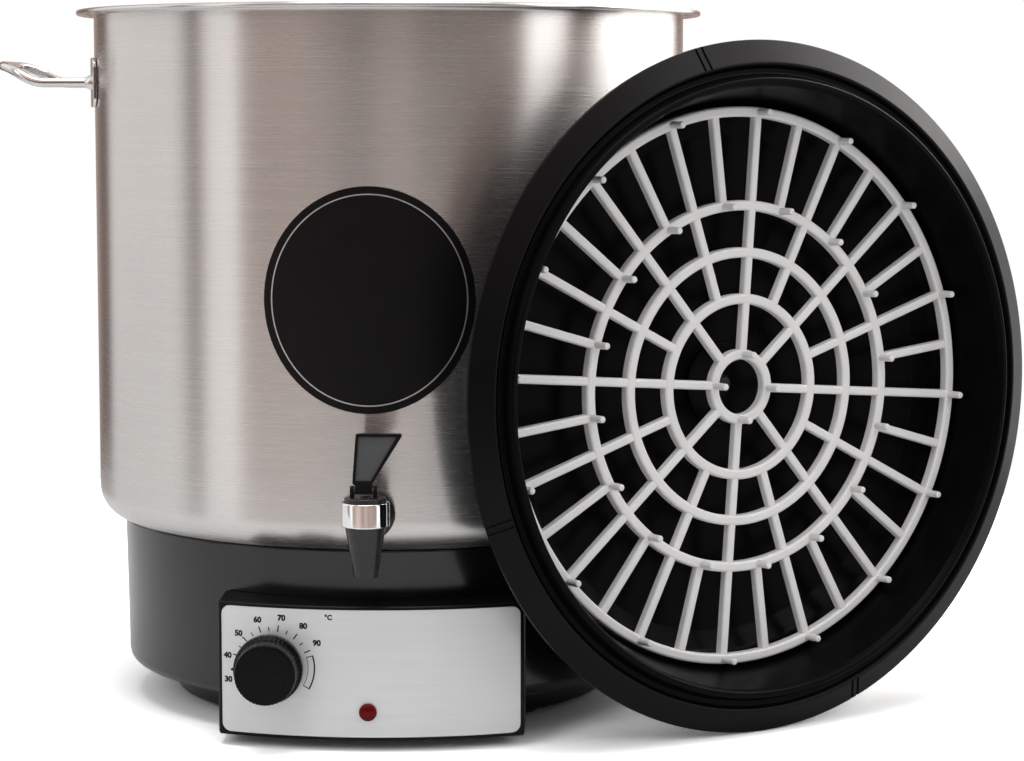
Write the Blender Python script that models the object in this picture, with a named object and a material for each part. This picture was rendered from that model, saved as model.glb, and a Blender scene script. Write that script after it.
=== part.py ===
"""Electric preserving cooker: a steel pot on a heated base, with a tap, a lid and a rack.

Metres, +Z up. The origin lies under the pot's axis on the surface the cooker stands on, and the
tap and the control panel face -Y. The lid is off: it leans on the pot, with the rack inside it.
"""

import math

import bmesh
import bpy
from mathutils import Matrix, Vector

# Clearance and round shapes
GAP = 0.0003  # between pieces that touch on the real cooker
RUNNING = 0.0005  # round a piece that turns or slides
OVERRUN = 0.004  # how far a cutter reaches past what it cuts
LARGE_SEGMENTS = 48
MEDIUM_SEGMENTS = 32
SMALL_SEGMENTS = 16
FINE_SEGMENTS = 10
FULL_TURN = 2 * math.pi
QUARTER_TURN = math.pi / 2

# Pot
POT_RADIUS = 0.176
POT_WALL = 0.001
POT_FLOOR = 0.0015
POT_UNDERSIDE = 0.108
POT_HEIGHT = 0.3005
POT_CORNER = 0.018
POT_CORNER_STEPS = 3
RIM_REACH = 0.0105
RIM_BEAD = 0.0016
RIM_FILLET = 0.004

# Side handles
HANDLE_ANGLES = {"left": -90, "right": 90}
HANDLE_WIRE = 0.0028
HANDLE_HALF_WIDTH = 0.042
HANDLE_REACH = 0.057
HANDLE_CORNER = 0.026
HANDLE_LIFT = 0.010
HANDLE_LIFT_START = 0.026
HANDLE_DROP = 0.0425
HANDLE_PLATE = 0.002
HANDLE_PLATE_HEIGHT = 0.029
HANDLE_PLATE_WIDTH = 0.106
HANDLE_PLATE_CORNER = 0.006

# Base shell
BASE_INSET = 0.015
BASE_DRAFT = 0.0015
BASE_WALL = 0.002
BASE_LIP = 0.011
BASE_UNDERSIDE = 0.020
BASE_CORNER = 0.007
BASE_FLANGE = 0.016

# Floor pan and feet
PAN_UNDERSIDE = 0.0035
PAN_WALL = 0.0015
PAN_FLANGE_INSET = 0.0095
PAN_INSET = 0.019
PAN_PRESSING = 0.0005
PAN_PRESSING_INSET = 0.015
FOOT_ANGLES = (45, 135, 225, 315)
FOOT_INSET = 0.019
FOOT_RADIUS = 0.011
FOOT_STEM = 0.003
FOOT_HEAD = 0.0048
FOOT_HEAD_HEIGHT = 0.003

# Heater under the pot
SPREADER_INSET = 0.019
SPREADER_THICKNESS = 0.0035
ELEMENT_INSET = 0.037
ELEMENT_TUBE = 0.004
ELEMENT_OPENING = math.radians(26)
ELEMENT_LEG = 0.026
ELEMENT_BEND = 0.010
REFLECTOR_INSET = 0.020
REFLECTOR_THICKNESS = 0.001
REFLECTOR_DROP = 0.0282
REFLECTOR_RIM = 0.010
ELEMENT_PASSAGE = 0.0075
STUD_ANGLES = (90, 210, 330)
STUD_CIRCLE = 0.070
STUD_RADIUS = 0.0025
NUT_RADIUS = 0.0046
NUT_HEIGHT = 0.0027
CUTOUT_PLACE = (0.036, 0.020)
CUTOUT_RADIUS = 0.008
CUTOUT_HEIGHT = 0.009
CUTOUT_FLANGE = 0.011
CUTOUT_FLANGE_THICKNESS = 0.0015

# Terminal block and cable gland
TERMINAL_SIZE = (0.042, 0.018, 0.015)
TERMINAL_INSET = 0.045
TERMINAL_WAYS = 3
TERMINAL_BORE = 0.0028
GLAND_RISE = 0.026
GLAND_RADIUS = 0.0075
GLAND_COLLAR = 0.011
GLAND_COLLAR_LENGTH = 0.006
GLAND_NOSE_RADIUS = 0.0085
GLAND_NOSE_LENGTH = 0.010
GLAND_THREAD_LENGTH = 0.011
GLAND_BORE = 0.0040
GLAND_NUT_RADIUS = 0.0115
GLAND_NUT_HEIGHT = 0.004

# Control housing and its panel
FRONT_PROJECTION = 0.026
FRONT_RADIUS = 0.225
HOUSING_HALF_WIDTH = 0.0848
HOUSING_UNDERSIDE = 0.006
HOUSING_HEIGHT = 0.075
HOUSING_WALL = 0.0025
HOUSING_EDGE = 0.0016
PANEL_THICKNESS = 0.001
PANEL_MARGIN = 0.0021
PANEL_CORNER = 0.005
PANEL_RECESS = 0.0003
WINDOW_INSET = 0.034
WINDOW_RISE = 0.026
WINDOW_DROP = 0.009
BOSS_INSET = 0.0148
BOSS_DROP = 0.0095
BOSS_RADIUS = 0.005
SCREW_RADIUS = 0.0018
SCREW_HEAD = 0.0035
SCREW_HEAD_HEIGHT = 0.0024
SCREW_LENGTH = 0.016

# Thermostat, its knob and its sensor
DIAL_INSET = 0.0296
DIAL_RISE = 0.040
THERMOSTAT_WIDTH = 0.030
THERMOSTAT_DEPTH = 0.014
THERMOSTAT_HEIGHT = 0.036
BUSH_RADIUS = 0.0048
SHAFT_RADIUS = 0.003
SHAFT_FLAT = 0.0016
KNOB_RADIUS = 0.0190
KNOB_FACE_RADIUS = 0.0168
KNOB_DEPTH = 0.020
KNOB_SKIRT = 0.005
KNOB_FACE_EDGE = 0.0012
KNOB_STAND_OFF = 0.0006
KNOB_SOCKET = 0.014
KNOB_RIBS = 24
KNOB_RIB_DEPTH = 0.0005
BUSH_NUT_RADIUS = 0.0075
BUSH_NUT_HEIGHT = 0.0025
POINTER_LENGTH = 0.0018
POINTER_WIDTH = 0.0016
POINTER_HEIGHT = 0.0040
BULB_RADIUS = 0.003
BULB_LENGTH = 0.076
BULB_INSET = 0.011
CLIP_WIDTH = 0.012
CLIP_SHEET = 0.001
CLIP_FOOT = 0.006
CAPILLARY_RADIUS = 0.0009

# Pilot lamp
LAMP_SIDE = -0.0006
LAMP_RISE = 0.0164
LENS_RADIUS = 0.0049
LENS_RISE = 0.0022
LENS_FLANGE = 0.0008
LENS_STEM = 0.0038
LENS_STEM_LENGTH = 0.006
LAMP_BODY_RADIUS = 0.0062
LAMP_BODY_LENGTH = 0.013

# Tap
TAP_RISE = 0.0215
TAP_REACH = 0.029
FLANGE_RADIUS = 0.0143
FLANGE_THICKNESS = 0.0035
WASHER_THICKNESS = 0.002
SHANK_RADIUS = 0.0085
SHANK_INSIDE = 0.013
WATER_BORE = 0.0048
BARREL_RADIUS = 0.0113
SPOUT_TOP_DROP = 0.0027
SPOUT_TOP_RADIUS = 0.0109
SPOUT_TIP_DROP = 0.0305
SPOUT_TIP_RADIUS = 0.0064
OUTLET_BORE = 0.0044
CHAMBER_RADIUS = 0.0080
CHAMBER_DROP = 0.0075
COLLAR_RISE = 0.0105
COLLAR_RADIUS = 0.0132
COLLAR_EDGE = 0.0012
BONNET_RISE = 0.0130
BONNET_THICKNESS = 0.0035
EAR_HEIGHT = 0.0061
EAR_THICKNESS = 0.0022
EAR_DEPTH = 0.0048
PIN_RADIUS = 0.0011
PIN_RISE = 0.0168
LEVER_NECK_LEFT = -0.0054
LEVER_NECK_RIGHT = 0.0040
LEVER_NECK_DEPTH = 0.0052
LEVER_NECK_RISE = 0.0205
LEVER_FOOT_RISE = 0.0148
PADDLE_RISE = 0.0472
PADDLE_TOP_LEFT = -0.0048
PADDLE_TOP_RIGHT = 0.0200
PADDLE_LEFT = -0.0068
PADDLE_EDGE = 0.0010
PADDLE_RECESS = 0.0012
PADDLE_WEB = 0.0022
STEM_RADIUS = 0.0020
PLUG_RADIUS = 0.0066
PLUG_HEIGHT = 0.0060
STEM_ENTRY = 0.0006
SPRING_RADIUS = 0.0046
SPRING_WIRE = 0.0006
SEAL_RADIUS = 0.0118
SEAL_THICKNESS = 0.002
TAP_NUT_RADIUS = 0.0135
TAP_NUT_HEIGHT = 0.006

# Lid, leaning on the pot with its inside facing out
LID_FACING = math.radians(33.8)
LID_LEAN = math.radians(1.1)
LID_SIDE = 0.1107
LID_OVERHANG = 0.008
LID_WALL = 0.003
LID_RIDGE_OFFSET = 0.005
LID_RIDGE = 0.0064
LID_CHANNEL = 0.0036
LID_SPIGOT_CLEARANCE = 0.0018
LID_SPIGOT = 0.010
LID_SEAT_INSET = 0.0122
LID_SEAT_DEPTH = 0.024
LID_SHOULDER_INSET = 0.0075
LID_SHOULDER_DEPTH = 0.034
LID_CROWN_INSET = 0.012
LID_CROWN_DEPTH = 0.0385
LID_DEPTH = 0.0425
LID_BOSS_RADIUS = 0.024
LID_BOSS_HEIGHT = 0.003
LID_KNOB_HEIGHT = 0.028
LID_KNOB_RADIUS = 0.027
LID_KNOB_TOP_RADIUS = 0.022
LID_KNOB_NECK = 0.014
LID_KNOB_FOOT = 0.019
LID_SCREW_RADIUS = 0.0025
LID_SCREW_HEAD = 0.006
LID_SCREW_HEAD_HEIGHT = 0.003
LID_SCREW_LENGTH = 0.018

# Rack inside the lid
RACK_HUB = 0.0185
RACK_INNER = 0.0500
RACK_MIDDLE = 0.0762
RACK_OUTER = 0.1028
RACK_CLEARANCE = 0.0055
RACK_RING_SEGMENTS = (16, 16, 32, 32, 32)
RACK_RING_WIDTH = 0.0058
RACK_THICKNESS = 0.006
RACK_BAR_WIDTH = 0.0048
RACK_BAR_THICKNESS = 0.0052
RACK_SPOKES = 32
RACK_TURN = math.radians(-4.8)
RACK_PIN_RADIUS = 0.0021
RACK_PIN_LENGTH = 0.010
RACK_DEPTH = 0.020
HUB_PINS = 4

# Sizes that follow
RIM_TOP = POT_UNDERSIDE + POT_HEIGHT
POT_INSIDE = POT_RADIUS - POT_WALL
POT_FLOOR_TOP = POT_UNDERSIDE + POT_FLOOR
HANDLE_HEIGHT = RIM_TOP - HANDLE_DROP
BASE_TOP = POT_UNDERSIDE - GAP
BASE_TOP_RADIUS = POT_RADIUS - BASE_INSET
BASE_BOTTOM_RADIUS = BASE_TOP_RADIUS - BASE_DRAFT
PAN_FLANGE_RADIUS = BASE_BOTTOM_RADIUS - PAN_FLANGE_INSET
PAN_RADIUS = PAN_FLANGE_RADIUS - PAN_INSET
PAN_PRESSING_RADIUS = STUD_CIRCLE - PAN_PRESSING_INSET
FOOT_CIRCLE = PAN_RADIUS - FOOT_INSET
SPREADER_RADIUS = BASE_TOP_RADIUS - SPREADER_INSET
SPREADER_UNDERSIDE = POT_UNDERSIDE - GAP - SPREADER_THICKNESS
ELEMENT_CIRCLE = SPREADER_RADIUS - ELEMENT_INSET
ELEMENT_AXIS = SPREADER_UNDERSIDE - GAP - ELEMENT_TUBE
REFLECTOR_RADIUS = SPREADER_RADIUS - REFLECTOR_INSET
REFLECTOR_UNDERSIDE = SPREADER_UNDERSIDE - REFLECTOR_DROP
TERMINAL_PLACE = (0.0, PAN_RADIUS - TERMINAL_INSET)
GLAND_HEIGHT = BASE_UNDERSIDE + GLAND_RISE
HOUSING_TOP = HOUSING_UNDERSIDE + HOUSING_HEIGHT
WINDOW_LOW = HOUSING_UNDERSIDE + WINDOW_RISE
WINDOW_HIGH = HOUSING_TOP - WINDOW_DROP
BOSS_SIDE = HOUSING_HALF_WIDTH - BOSS_INSET
BOSS_HEIGHT = HOUSING_TOP - BOSS_DROP
WINDOW_HALF_WIDTH = BOSS_SIDE - WINDOW_INSET
DIAL_SIDE = DIAL_INSET - HOUSING_HALF_WIDTH
DIAL_HEIGHT = HOUSING_UNDERSIDE + DIAL_RISE
LAMP_HEIGHT = HOUSING_UNDERSIDE + LAMP_RISE
FRONT_REACH = BASE_TOP_RADIUS + FRONT_PROJECTION
FRONT_CENTRE = FRONT_RADIUS - FRONT_REACH
PANEL_BACK = FRONT_REACH - PANEL_RECESS - PANEL_THICKNESS
HOLLOW_REACH = PANEL_BACK - GAP - HOUSING_WALL
TAP_AXIS = -(POT_RADIUS + TAP_REACH)
TAP_HEIGHT = POT_FLOOR_TOP + TAP_RISE
SPOUT_TOP = TAP_HEIGHT - SPOUT_TOP_DROP
SPOUT_TIP = TAP_HEIGHT - SPOUT_TIP_DROP
CHAMBER_FLOOR = TAP_HEIGHT - CHAMBER_DROP
COLLAR_TOP = TAP_HEIGHT + COLLAR_RISE
BONNET_TOP = TAP_HEIGHT + BONNET_RISE
PIN_HEIGHT = TAP_HEIGHT + PIN_RISE
LEVER_NECK_TOP = TAP_HEIGHT + LEVER_NECK_RISE
LEVER_FOOT = TAP_HEIGHT + LEVER_FOOT_RISE
PADDLE_TOP = TAP_HEIGHT + PADDLE_RISE
BULB_AXIS = SPREADER_UNDERSIDE - GAP - BULB_RADIUS
BULB_PLACE = BULB_INSET - SPREADER_RADIUS
LID_RADIUS = POT_RADIUS + RIM_REACH + LID_OVERHANG
LID_RIDGE_RADIUS = POT_RADIUS + LID_RIDGE_OFFSET
LID_SPIGOT_RADIUS = POT_INSIDE - LID_SPIGOT_CLEARANCE
LID_SEAT_RADIUS = LID_SPIGOT_RADIUS - LID_SEAT_INSET
LID_SHOULDER_RADIUS = LID_SEAT_RADIUS - LID_SHOULDER_INSET
LID_CROWN_RADIUS = LID_SHOULDER_RADIUS - LID_CROWN_INSET
LID_BACK = LID_DEPTH + LID_WALL
LID_KNOB_END = LID_BACK + GAP + LID_KNOB_HEIGHT
RACK_RIM = LID_SEAT_RADIUS - RACK_CLEARANCE
RACK_RINGS = (RACK_HUB, RACK_INNER, RACK_MIDDLE, RACK_OUTER, RACK_RIM)


def material(name, colour, roughness, metallic=0.0):
    """A Principled material."""
    made = bpy.data.materials.new(name)
    made.use_nodes = True
    shader = made.node_tree.nodes["Principled BSDF"]
    shader.inputs["Base Color"].default_value = (*colour, 1.0)
    shader.inputs["Roughness"].default_value = roughness
    shader.inputs["Metallic"].default_value = metallic
    return made


def add_object(name, bm, look=None, matrix=None):
    """Links a mesh built in bm as an object, shaded smooth where it is round."""
    bmesh.ops.recalc_face_normals(bm, faces=bm.faces)
    mesh = bpy.data.meshes.new(name)
    bm.to_mesh(mesh)
    bm.free()
    mesh.shade_smooth()
    mesh.set_sharp_from_angle(angle=math.radians(35))
    obj = bpy.data.objects.new(name, mesh)
    bpy.context.scene.collection.objects.link(obj)
    if look:
        mesh.materials.append(look)
    if matrix:
        obj.matrix_world = matrix
    return obj


def turned(name, profile, segments, look=None, matrix=None):
    """A closed (radius, height) outline turned about Z."""
    bm = bmesh.new()
    verts = [bm.verts.new((radius, 0.0, height)) for radius, height in profile]
    edges = [bm.edges.new(pair) for pair in zip(verts, verts[1:] + verts[:1])]
    bmesh.ops.spin(
        bm, geom=verts + edges, cent=(0, 0, 0), axis=(0, 0, 1), angle=FULL_TURN, steps=segments,
        use_merge=True,
    )
    bmesh.ops.remove_doubles(bm, verts=bm.verts, dist=GAP / 1000)
    bmesh.ops.dissolve_degenerate(bm, dist=GAP / 1000, edges=bm.edges)
    loose = [edge for edge in bm.edges if not edge.link_faces]
    bmesh.ops.delete(bm, geom=loose, context="EDGES")
    return add_object(name, bm, look, matrix)


def extruded(name, outline, low, high, look=None, matrix=None):
    """A flat (x, y) outline extruded along Z from low to high."""
    bm = bmesh.new()
    face = bm.faces.new([bm.verts.new((x, y, low)) for x, y in outline])
    side = bmesh.ops.extrude_face_region(bm, geom=[face])
    moved = [item for item in side["geom"] if isinstance(item, bmesh.types.BMVert)]
    bmesh.ops.translate(bm, verts=moved, vec=(0, 0, high - low))
    return add_object(name, bm, look, matrix)


def block(name, low, high, look=None, matrix=None):
    """A box between two corners."""
    outline = [(low[0], low[1]), (high[0], low[1]), (high[0], high[1]), (low[0], high[1])]
    return extruded(name, outline, low[2], high[2], look, matrix)


def rod(name, radius, low, high, segments, look=None, matrix=None):
    """A cylinder along Z."""
    return turned(name, [(0, low), (radius, low), (radius, high), (0, high)], segments, look, matrix)


def hexagon(name, radius, bore, low, high, look, matrix=None, facets=SMALL_SEGMENTS):
    """A hexagon nut with a round bore."""
    outline = [(radius * math.cos(a), radius * math.sin(a)) for a in turns(6)]
    nut = extruded(name, outline, low, high, look, matrix)
    cut(nut, rod(f"{name}_bore", bore, low - OVERRUN, high + OVERRUN, facets, matrix=matrix))
    return nut


def turns(count, start=0.0):
    """Angles spread evenly round a circle."""
    return [start + FULL_TURN * i / count for i in range(count)]


def arc(centre, radius, start, end, steps):
    """Points along an arc, angles in degrees."""
    angles = [math.radians(start + (end - start) * i / steps) for i in range(steps + 1)]
    return [(centre[0] + radius * math.cos(a), centre[1] + radius * math.sin(a)) for a in angles]


def rounded_rectangle(half_width, low, high, corner, steps=4):
    """A rectangle outline with round corners."""
    x, bottom, top = half_width - corner, low + corner, high - corner
    return (
        arc((x, bottom), corner, -90, 0, steps)
        + arc((x, top), corner, 0, 90, steps)
        + arc((-x, top), corner, 90, 180, steps)
        + arc((-x, bottom), corner, 180, 270, steps)
    )


def tube(name, points, radius, look, sides=2):
    """A round tube along points, with closed ends."""
    curve = bpy.data.curves.new(name, "CURVE")
    curve.dimensions = "3D"
    curve.bevel_depth = radius
    curve.bevel_resolution = sides
    curve.use_fill_caps = True
    spline = curve.splines.new("POLY")
    spline.points.add(len(points) - 1)
    for point, place in zip(spline.points, points):
        point.co = (*place, 1.0)
    curve.materials.append(look)
    obj = bpy.data.objects.new(name, curve)
    bpy.context.scene.collection.objects.link(obj)
    return obj


def smooth_path(points, steps):
    """Points along a smooth curve through the given ones."""
    points = [Vector(p) for p in points]
    padded = [2 * points[0] - points[1], *points, 2 * points[-1] - points[-2]]
    path = []
    for before, start, end, after in zip(padded, padded[1:], padded[2:], padded[3:]):
        for i in range(steps):
            t = i / steps
            path.append(
                (
                    2 * start
                    + (end - before) * t
                    + (2 * before - 5 * start + 4 * end - after) * t**2
                    + (3 * start - before - 3 * end + after) * t**3
                )
                / 2
            )
    return [*path, points[-1]]


def boolean(target, other, operation):
    """Applies a Boolean with a helper that isn't a piece of its own."""
    other.hide_render = True
    other.display_type = "WIRE"
    modifier = target.modifiers.new(other.name, "BOOLEAN")
    modifier.operation = operation
    modifier.object = other


def cut(target, cutter):
    boolean(target, cutter, "DIFFERENCE")


def join(target, other):
    boolean(target, other, "UNION")


def along_y(x, y, z):
    """Turns +Z to -Y, with the turned piece's zero at a place."""
    return Matrix.Translation((x, y, z)) @ Matrix.Rotation(QUARTER_TURN, 4, "X")


def tap_shank():
    """The tap shank's frame, half a facet round so that its edges miss those of the barrel."""
    return along_y(0, 0, TAP_HEIGHT) @ Matrix.Rotation(math.pi / SMALL_SEGMENTS, 4, "Z")


def round_z(degrees):
    """Turns the front, -Y, to an angle counted towards +X."""
    return Matrix.Rotation(math.radians(degrees), 4, "Z")


def upright_at(circle, degrees):
    """A place on a circle round the pot's axis."""
    return round_z(degrees) @ Matrix.Translation((0, -circle, 0))


def build_pot(looks):
    bead = (POT_RADIUS + RIM_REACH - RIM_BEAD, RIM_TOP - RIM_BEAD)
    flange_under = RIM_TOP - POT_WALL
    bead_start = 180 - math.degrees(math.asin((flange_under - bead[1]) / RIM_BEAD))
    outer_corner = (POT_RADIUS - POT_CORNER, POT_UNDERSIDE + POT_CORNER)
    inner_corner_radius = POT_CORNER - POT_FLOOR
    inner_corner = (POT_INSIDE - inner_corner_radius, POT_FLOOR_TOP + inner_corner_radius)
    mouth = RIM_FILLET + POT_WALL
    profile = [(0, POT_UNDERSIDE)]
    profile += arc(outer_corner, POT_CORNER, -90, 0, POT_CORNER_STEPS)
    profile += arc((POT_RADIUS + RIM_FILLET, flange_under - RIM_FILLET), RIM_FILLET, 180, 90, 2)
    profile += arc(bead, RIM_BEAD, bead_start, 450, 4)
    profile += arc((POT_INSIDE + mouth, RIM_TOP - mouth), mouth, 90, 180, 2)
    profile += arc(inner_corner, inner_corner_radius, 0, -90, POT_CORNER_STEPS)
    profile += [(0, POT_FLOOR_TOP)]
    pot = turned("pot", profile, LARGE_SEGMENTS, looks["steel"])
    hole = rod(
        "tap_hole", SHANK_RADIUS + RUNNING, POT_RADIUS - POT_CORNER, POT_RADIUS + OVERRUN, SMALL_SEGMENTS,
        matrix=tap_shank(),
    )
    cut(pot, hole)


def handle_path():
    """The wire's centre line, as (distance from the pot's axis, sideways, up)."""
    plate_face = POT_RADIUS + GAP + HANDLE_PLATE
    start = math.sqrt(plate_face**2 - (HANDLE_HALF_WIDTH - HANDLE_WIRE) ** 2) + GAP
    tip = POT_RADIUS + HANDLE_REACH - HANDLE_WIRE
    centre = (tip - HANDLE_CORNER, HANDLE_HALF_WIDTH - HANDLE_CORNER)
    run = [(start + (centre[0] - start) * i / 3, HANDLE_HALF_WIDTH) for i in range(3)]
    half = run + arc(centre, HANDLE_CORNER, 90, 0, 6)
    path = []
    for x, y in half + [(x, -y) for x, y in reversed(half)]:
        lift_start = POT_RADIUS + HANDLE_LIFT_START
        rise = max(0.0, min(1.0, (x - lift_start) / (tip - lift_start)))
        path.append((x, y, HANDLE_LIFT * rise**2 * (3 - 2 * rise)))
    return path


def build_handles(looks):
    low = HANDLE_HEIGHT - HANDLE_PLATE_HEIGHT / 2
    high = low + HANDLE_PLATE_HEIGHT
    half_angle = math.degrees(HANDLE_PLATE_WIDTH / 2 / POT_RADIUS)
    inner = POT_RADIUS + GAP
    for side, angle in HANDLE_ANGLES.items():
        turn = round_z(angle)
        band = arc((0, 0), inner, -90 - half_angle, -90 + half_angle, 8)
        band += arc((0, 0), inner + HANDLE_PLATE, -90 + half_angle, -90 - half_angle, 8)
        plate = extruded(f"handle_plate_{side}", band, low, high, looks["polished"], turn)
        outline = rounded_rectangle(HANDLE_PLATE_WIDTH / 2, low, high, HANDLE_PLATE_CORNER, 3)
        frame = extruded(
            f"handle_plate_{side}_outline", outline, 0, POT_RADIUS + HANDLE_REACH,
            matrix=turn @ along_y(0, 0, 0),
        )
        boolean(plate, frame, "INTERSECT")
        points = [turn @ Vector((across, -out, HANDLE_HEIGHT + up)) for out, across, up in handle_path()]
        tube(f"handle_{side}", points, HANDLE_WIRE, looks["polished"])


def build_base_shell(looks):
    bottom = BASE_UNDERSIDE
    corner = (BASE_BOTTOM_RADIUS - BASE_CORNER, bottom + BASE_CORNER)
    inner_corner = BASE_CORNER - BASE_WALL
    profile = [(BASE_TOP_RADIUS - BASE_LIP, BASE_TOP - BASE_WALL)]
    profile += [(BASE_TOP_RADIUS - BASE_WALL, BASE_TOP - BASE_WALL)]
    profile += arc(corner, inner_corner, 0, -90, 2)
    profile += [(BASE_BOTTOM_RADIUS - BASE_FLANGE, bottom + BASE_WALL)]
    profile += [(BASE_BOTTOM_RADIUS - BASE_FLANGE, bottom)]
    profile += arc(corner, BASE_CORNER, -90, 0, 3)
    profile += [(BASE_TOP_RADIUS, BASE_TOP - GAP), (BASE_TOP_RADIUS - GAP, BASE_TOP)]
    profile += [(BASE_TOP_RADIUS - BASE_LIP, BASE_TOP)]
    shell = turned("base_shell", profile, LARGE_SEGMENTS, looks["enamel"])
    window = block(
        "base_window",
        (-WINDOW_HALF_WIDTH, -FRONT_REACH, WINDOW_LOW),
        (WINDOW_HALF_WIDTH, -PAN_RADIUS, WINDOW_HIGH),
    )
    cut(shell, window)
    for side in (-1, 1):
        cut(shell, screw_hole(side, "base"))
    gland_hole = rod(
        "gland_hole", GLAND_RADIUS + RUNNING, PAN_RADIUS, BASE_TOP_RADIUS + OVERRUN, SMALL_SEGMENTS,
        matrix=round_z(180) @ along_y(0, 0, GLAND_HEIGHT),
    )
    cut(shell, gland_hole)


def build_floor_pan(looks):
    top = BASE_UNDERSIDE - GAP
    floor = PAN_UNDERSIDE + PAN_WALL
    pressed = PAN_UNDERSIDE - PAN_PRESSING
    profile = [
        (0, pressed),
        (PAN_PRESSING_RADIUS, pressed),
        (PAN_PRESSING_RADIUS + PAN_PRESSING, PAN_UNDERSIDE),
        (PAN_RADIUS, PAN_UNDERSIDE),
        (PAN_RADIUS, top - PAN_WALL),
        (PAN_FLANGE_RADIUS, top - PAN_WALL),
        (PAN_FLANGE_RADIUS, top),
        (PAN_RADIUS - PAN_WALL, top),
        (PAN_RADIUS - PAN_WALL, floor),
        (PAN_PRESSING_RADIUS + PAN_PRESSING, floor),
        (PAN_PRESSING_RADIUS, floor - PAN_PRESSING),
        (0, floor - PAN_PRESSING),
    ]
    pan = turned("floor_pan", profile, LARGE_SEGMENTS, looks["zinc"])
    for angle in FOOT_ANGLES:
        hole = rod(
            f"foot_hole_{angle}", FOOT_STEM + GAP, 0, floor + OVERRUN, FINE_SEGMENTS,
            matrix=upright_at(FOOT_CIRCLE, angle),
        )
        cut(pan, hole)
    for angle in STUD_ANGLES:
        cut(pan, stud_hole("pan", angle, 0, floor + OVERRUN))


def build_feet(looks):
    floor = PAN_UNDERSIDE + PAN_WALL
    profile = [
        (0, 0),
        (FOOT_RADIUS - GAP, 0),
        (FOOT_RADIUS, PAN_UNDERSIDE - GAP),
        (FOOT_STEM, PAN_UNDERSIDE - GAP),
        (FOOT_STEM, floor + GAP),
        (FOOT_HEAD, floor + GAP),
        (FOOT_STEM, floor + GAP + FOOT_HEAD_HEIGHT),
        (0, floor + GAP + FOOT_HEAD_HEIGHT),
    ]
    for number, angle in enumerate(FOOT_ANGLES, 1):
        turned(f"foot_{number}", profile, FINE_SEGMENTS, looks["rubber"], upright_at(FOOT_CIRCLE, angle))


def stud_hole(name, angle, low, high):
    return rod(
        f"{name}_stud_hole_{angle}", STUD_RADIUS + GAP, low, high, FINE_SEGMENTS,
        matrix=upright_at(STUD_CIRCLE, angle),
    )


def build_studs(looks):
    """Studs welded under the pot carry the reflector and clamp the base on."""
    end = PAN_UNDERSIDE - GAP - NUT_HEIGHT
    for number, angle in enumerate(STUD_ANGLES, 1):
        place = upright_at(STUD_CIRCLE, angle)
        rod(f"stud_{number}", STUD_RADIUS, end, POT_UNDERSIDE - GAP, FINE_SEGMENTS, looks["zinc"], place)
        bore = STUD_RADIUS + GAP
        reflector_seat = REFLECTOR_UNDERSIDE - GAP
        nuts = {"reflector": reflector_seat - NUT_HEIGHT, "pan": end}
        for which, low in nuts.items():
            name = f"{which}_nut_{number}"
            hexagon(name, NUT_RADIUS, bore, low, low + NUT_HEIGHT, looks["zinc"], place, FINE_SEGMENTS)


def build_heater(looks):
    top = SPREADER_UNDERSIDE + SPREADER_THICKNESS
    spreader = rod(
        "heat_spreader", SPREADER_RADIUS, SPREADER_UNDERSIDE, top, MEDIUM_SEGMENTS, looks["aluminium"],
    )
    for angle in STUD_ANGLES:
        cut(spreader, stud_hole("spreader", angle, SPREADER_UNDERSIDE - OVERRUN, top + OVERRUN))

    sweep = FULL_TURN - ELEMENT_OPENING
    ends = (ELEMENT_OPENING / 2, ELEMENT_OPENING / 2 + sweep)
    ring = [ends[0] + sweep * i / 28 for i in range(29)]
    path = [Vector((ELEMENT_CIRCLE * math.sin(a), ELEMENT_CIRCLE * math.cos(a), ELEMENT_AXIS)) for a in ring]
    legs = []
    for a, way in zip(ends, (-1, 1)):
        along = Vector((math.cos(a), -math.sin(a), 0)) * way
        start = Vector((ELEMENT_CIRCLE * math.sin(a), ELEMENT_CIRCLE * math.cos(a), ELEMENT_AXIS))
        leg = []
        for forward, down in arc((0, 0), ELEMENT_BEND, 67.5, 0, 3):
            leg.append(start + along * forward + Vector((0, 0, down - ELEMENT_BEND)))
        leg.append(leg[-1] - Vector((0, 0, ELEMENT_LEG)))
        legs.append(leg)
    tube("heating_element", [*reversed(legs[0]), *path, *legs[1]], ELEMENT_TUBE, looks["element"], 1)

    low, thick = REFLECTOR_UNDERSIDE, REFLECTOR_THICKNESS
    profile = [
        (0, low),
        (REFLECTOR_RADIUS, low),
        (REFLECTOR_RADIUS, low + REFLECTOR_RIM),
        (REFLECTOR_RADIUS - thick, low + REFLECTOR_RIM),
        (REFLECTOR_RADIUS - thick, low + thick),
        (0, low + thick),
    ]
    reflector = turned("heat_reflector", profile, MEDIUM_SEGMENTS, looks["aluminium"])
    for angle in STUD_ANGLES:
        cut(reflector, stud_hole("reflector", angle, low - OVERRUN, low + thick + OVERRUN))
    for number, leg in enumerate(legs, 1):
        place = Matrix.Translation((leg[-1].x, leg[-1].y, 0))
        passage = rod(
            f"element_passage_{number}", ELEMENT_PASSAGE, low - OVERRUN, low + thick + OVERRUN, FINE_SEGMENTS,
            matrix=place,
        )
        cut(reflector, passage)

    seat = SPREADER_UNDERSIDE - GAP
    profile = [
        (0, seat - CUTOUT_HEIGHT),
        (CUTOUT_RADIUS, seat - CUTOUT_HEIGHT),
        (CUTOUT_RADIUS, seat - CUTOUT_FLANGE_THICKNESS),
        (CUTOUT_FLANGE, seat - CUTOUT_FLANGE_THICKNESS),
        (CUTOUT_FLANGE, seat),
        (0, seat),
    ]
    place = Matrix.Translation((*CUTOUT_PLACE, 0))
    turned("thermal_cutout", profile, SMALL_SEGMENTS, looks["polished"], place)


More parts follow.
